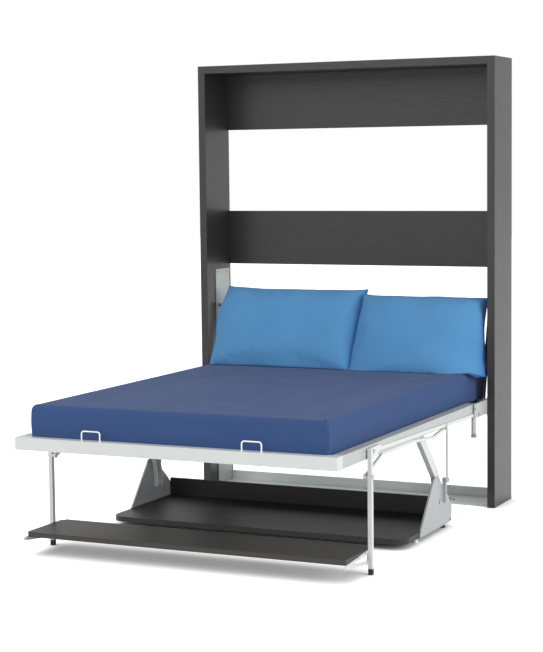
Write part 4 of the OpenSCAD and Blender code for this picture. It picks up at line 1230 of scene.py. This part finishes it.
class WALLBED_OT_stage(Operator):
    """Floor, soft light and the camera"""

    bl_idname = "wall_bed.stage"
    bl_label = "Stage"

    def execute(self, context):
        stage = context.scene.wall_bed_stage
        self.sky(context.scene, stage)
        self.floor(stage)
        for lamp in LAMPS:
            self.lamp(*lamp)
        self.camera(context.scene, stage)
        context.scene.view_settings.view_transform = "Standard"
        return {"FINISHED"}

    def sky(self, scene, stage):
        """An even sky, white where the camera or a reflection sees it."""
        scene.world = scene.world or bpy.data.worlds.new("studio")
        scene.world.use_nodes = True
        scene.world.node_tree.nodes.clear()
        tree = Tree(scene.world.node_tree)
        plain = tree.node("ShaderNodeBackground", {}, {0: WHITE, 1: stage.sky})
        white = tree.node("ShaderNodeBackground", {}, {0: WHITE, 1: 1.0})
        skies = tree.node("ShaderNodeMixShader", {}, {0: tree.seen(), 1: plain, 2: white})
        tree.node("ShaderNodeOutputWorld", {}, {0: skies})

    def floor(self, stage):
        """A plain pale floor, whiter where it is seen away from the pieces, with their shadows kept."""
        bpy.ops.object.select_all(action="DESELECT")
        bpy.ops.mesh.primitive_plane_add(size=stage.floor_size)
        floor = new_piece("studio_floor")
        material = bpy.data.materials.new("floor_white")
        material.use_nodes = True
        material.node_tree.nodes.clear()
        tree = Tree(material.node_tree)
        matt = tree.node("ShaderNodeBsdfDiffuse", {}, {0: PALE})
        near = tree.node("ShaderNodeAmbientOcclusion", {}, {"Distance": stage.floor_reach}, "AO")
        lift = tree.seen() * stage.floor_lift * near * near
        white = tree.node("ShaderNodeEmission", {}, {0: WHITE, 1: lift})
        surface = tree.node("ShaderNodeAddShader", {}, {0: matt, 1: white})
        tree.node("ShaderNodeOutputMaterial", {}, {0: surface})
        floor.data.materials.append(material)

    def lamp(self, name, place, target, size, power):
        """A square soft light that faces a point."""
        light = bpy.data.lights.new(name, "AREA")
        light.size = size
        light.energy = power
        lamp = put(name, light)
        lamp.location = place
        ahead = Vector(target) - Vector(place)
        lamp.rotation_euler = ahead.to_track_quat("-Z", "Y").to_euler()

    def camera(self, scene, stage):
        """The camera at the photograph's place and angle."""
        flat, drop = math.cos(stage.pitch), -math.sin(stage.pitch)
        ahead = Vector((-math.sin(stage.yaw) * flat, math.cos(stage.yaw) * flat, drop))
        level = Vector((math.cos(stage.yaw), math.sin(stage.yaw), 0))
        upward = level.cross(ahead)
        right = math.cos(stage.roll) * level + math.sin(stage.roll) * upward
        top = math.cos(stage.roll) * upward - math.sin(stage.roll) * level
        data = bpy.data.cameras.new("camera")
        data.sensor_fit = "HORIZONTAL"
        data.sensor_width = FRAME_WIDTH
        data.lens = stage.lens
        data.clip_end = FAR_CLIP
        camera = put("camera", data)
        matrix = Matrix((right, top, -ahead)).transposed().to_4x4()
        matrix.translation = stage.position
        camera.matrix_world = matrix
        scene.camera = camera


OPERATORS = (
    WALLBED_OT_cabinet, WALLBED_OT_floor_rail, WALLBED_OT_mechanism, WALLBED_OT_gas_springs,
    WALLBED_OT_bed_frame, WALLBED_OT_slats, WALLBED_OT_retainers, WALLBED_OT_stays, WALLBED_OT_linkage,
    WALLBED_OT_legs, WALLBED_OT_shelf, WALLBED_OT_desk, WALLBED_OT_mattress, WALLBED_OT_pillows,
    WALLBED_OT_stage,
)


class WALLBED_PT_sidebar(Panel):
    """Lists the steps that dress the wall bed"""

    bl_idname = "WALLBED_PT_sidebar"
    bl_label = "Wall Bed"
    bl_space_type = "VIEW_3D"
    bl_region_type = "UI"
    bl_category = "Wall Bed"

    def draw(self, context):
        column = self.layout.column(align=True)
        for operator in OPERATORS:
            column.operator(operator.bl_idname)
        for group in ("wall_bed_colours", "wall_bed_sizes", "wall_bed_stage"):
            settings = getattr(context.scene, group)
            box = self.layout.box()
            for name in settings.bl_rna.properties.keys():
                if name not in ("rna_type", "name"):
                    box.prop(settings, name)


GROUPS = (WallBedColours, WallBedSizes, WallBedStage)


def register():
    """Registers the classes and puts the settings on the scene."""
    for made in GROUPS + OPERATORS + (WALLBED_PT_sidebar,):
        bpy.utils.register_class(made)
    bpy.types.Scene.wall_bed_colours = PointerProperty(type=WallBedColours)
    bpy.types.Scene.wall_bed_sizes = PointerProperty(type=WallBedSizes)
    bpy.types.Scene.wall_bed_stage = PointerProperty(type=WallBedStage)


def unregister():
    """Takes the settings and the classes away again."""
    del bpy.types.Scene.wall_bed_stage
    del bpy.types.Scene.wall_bed_sizes
    del bpy.types.Scene.wall_bed_colours
    for made in reversed(GROUPS + OPERATORS + (WALLBED_PT_sidebar,)):
        bpy.utils.unregister_class(made)


def main():
    """Dresses the bed piece by piece."""
    register()
    for operator in OPERATORS:
        group, name = operator.bl_idname.split(".")
        getattr(getattr(bpy.ops, group), name)()


if __name__ == "__main__":
    main()
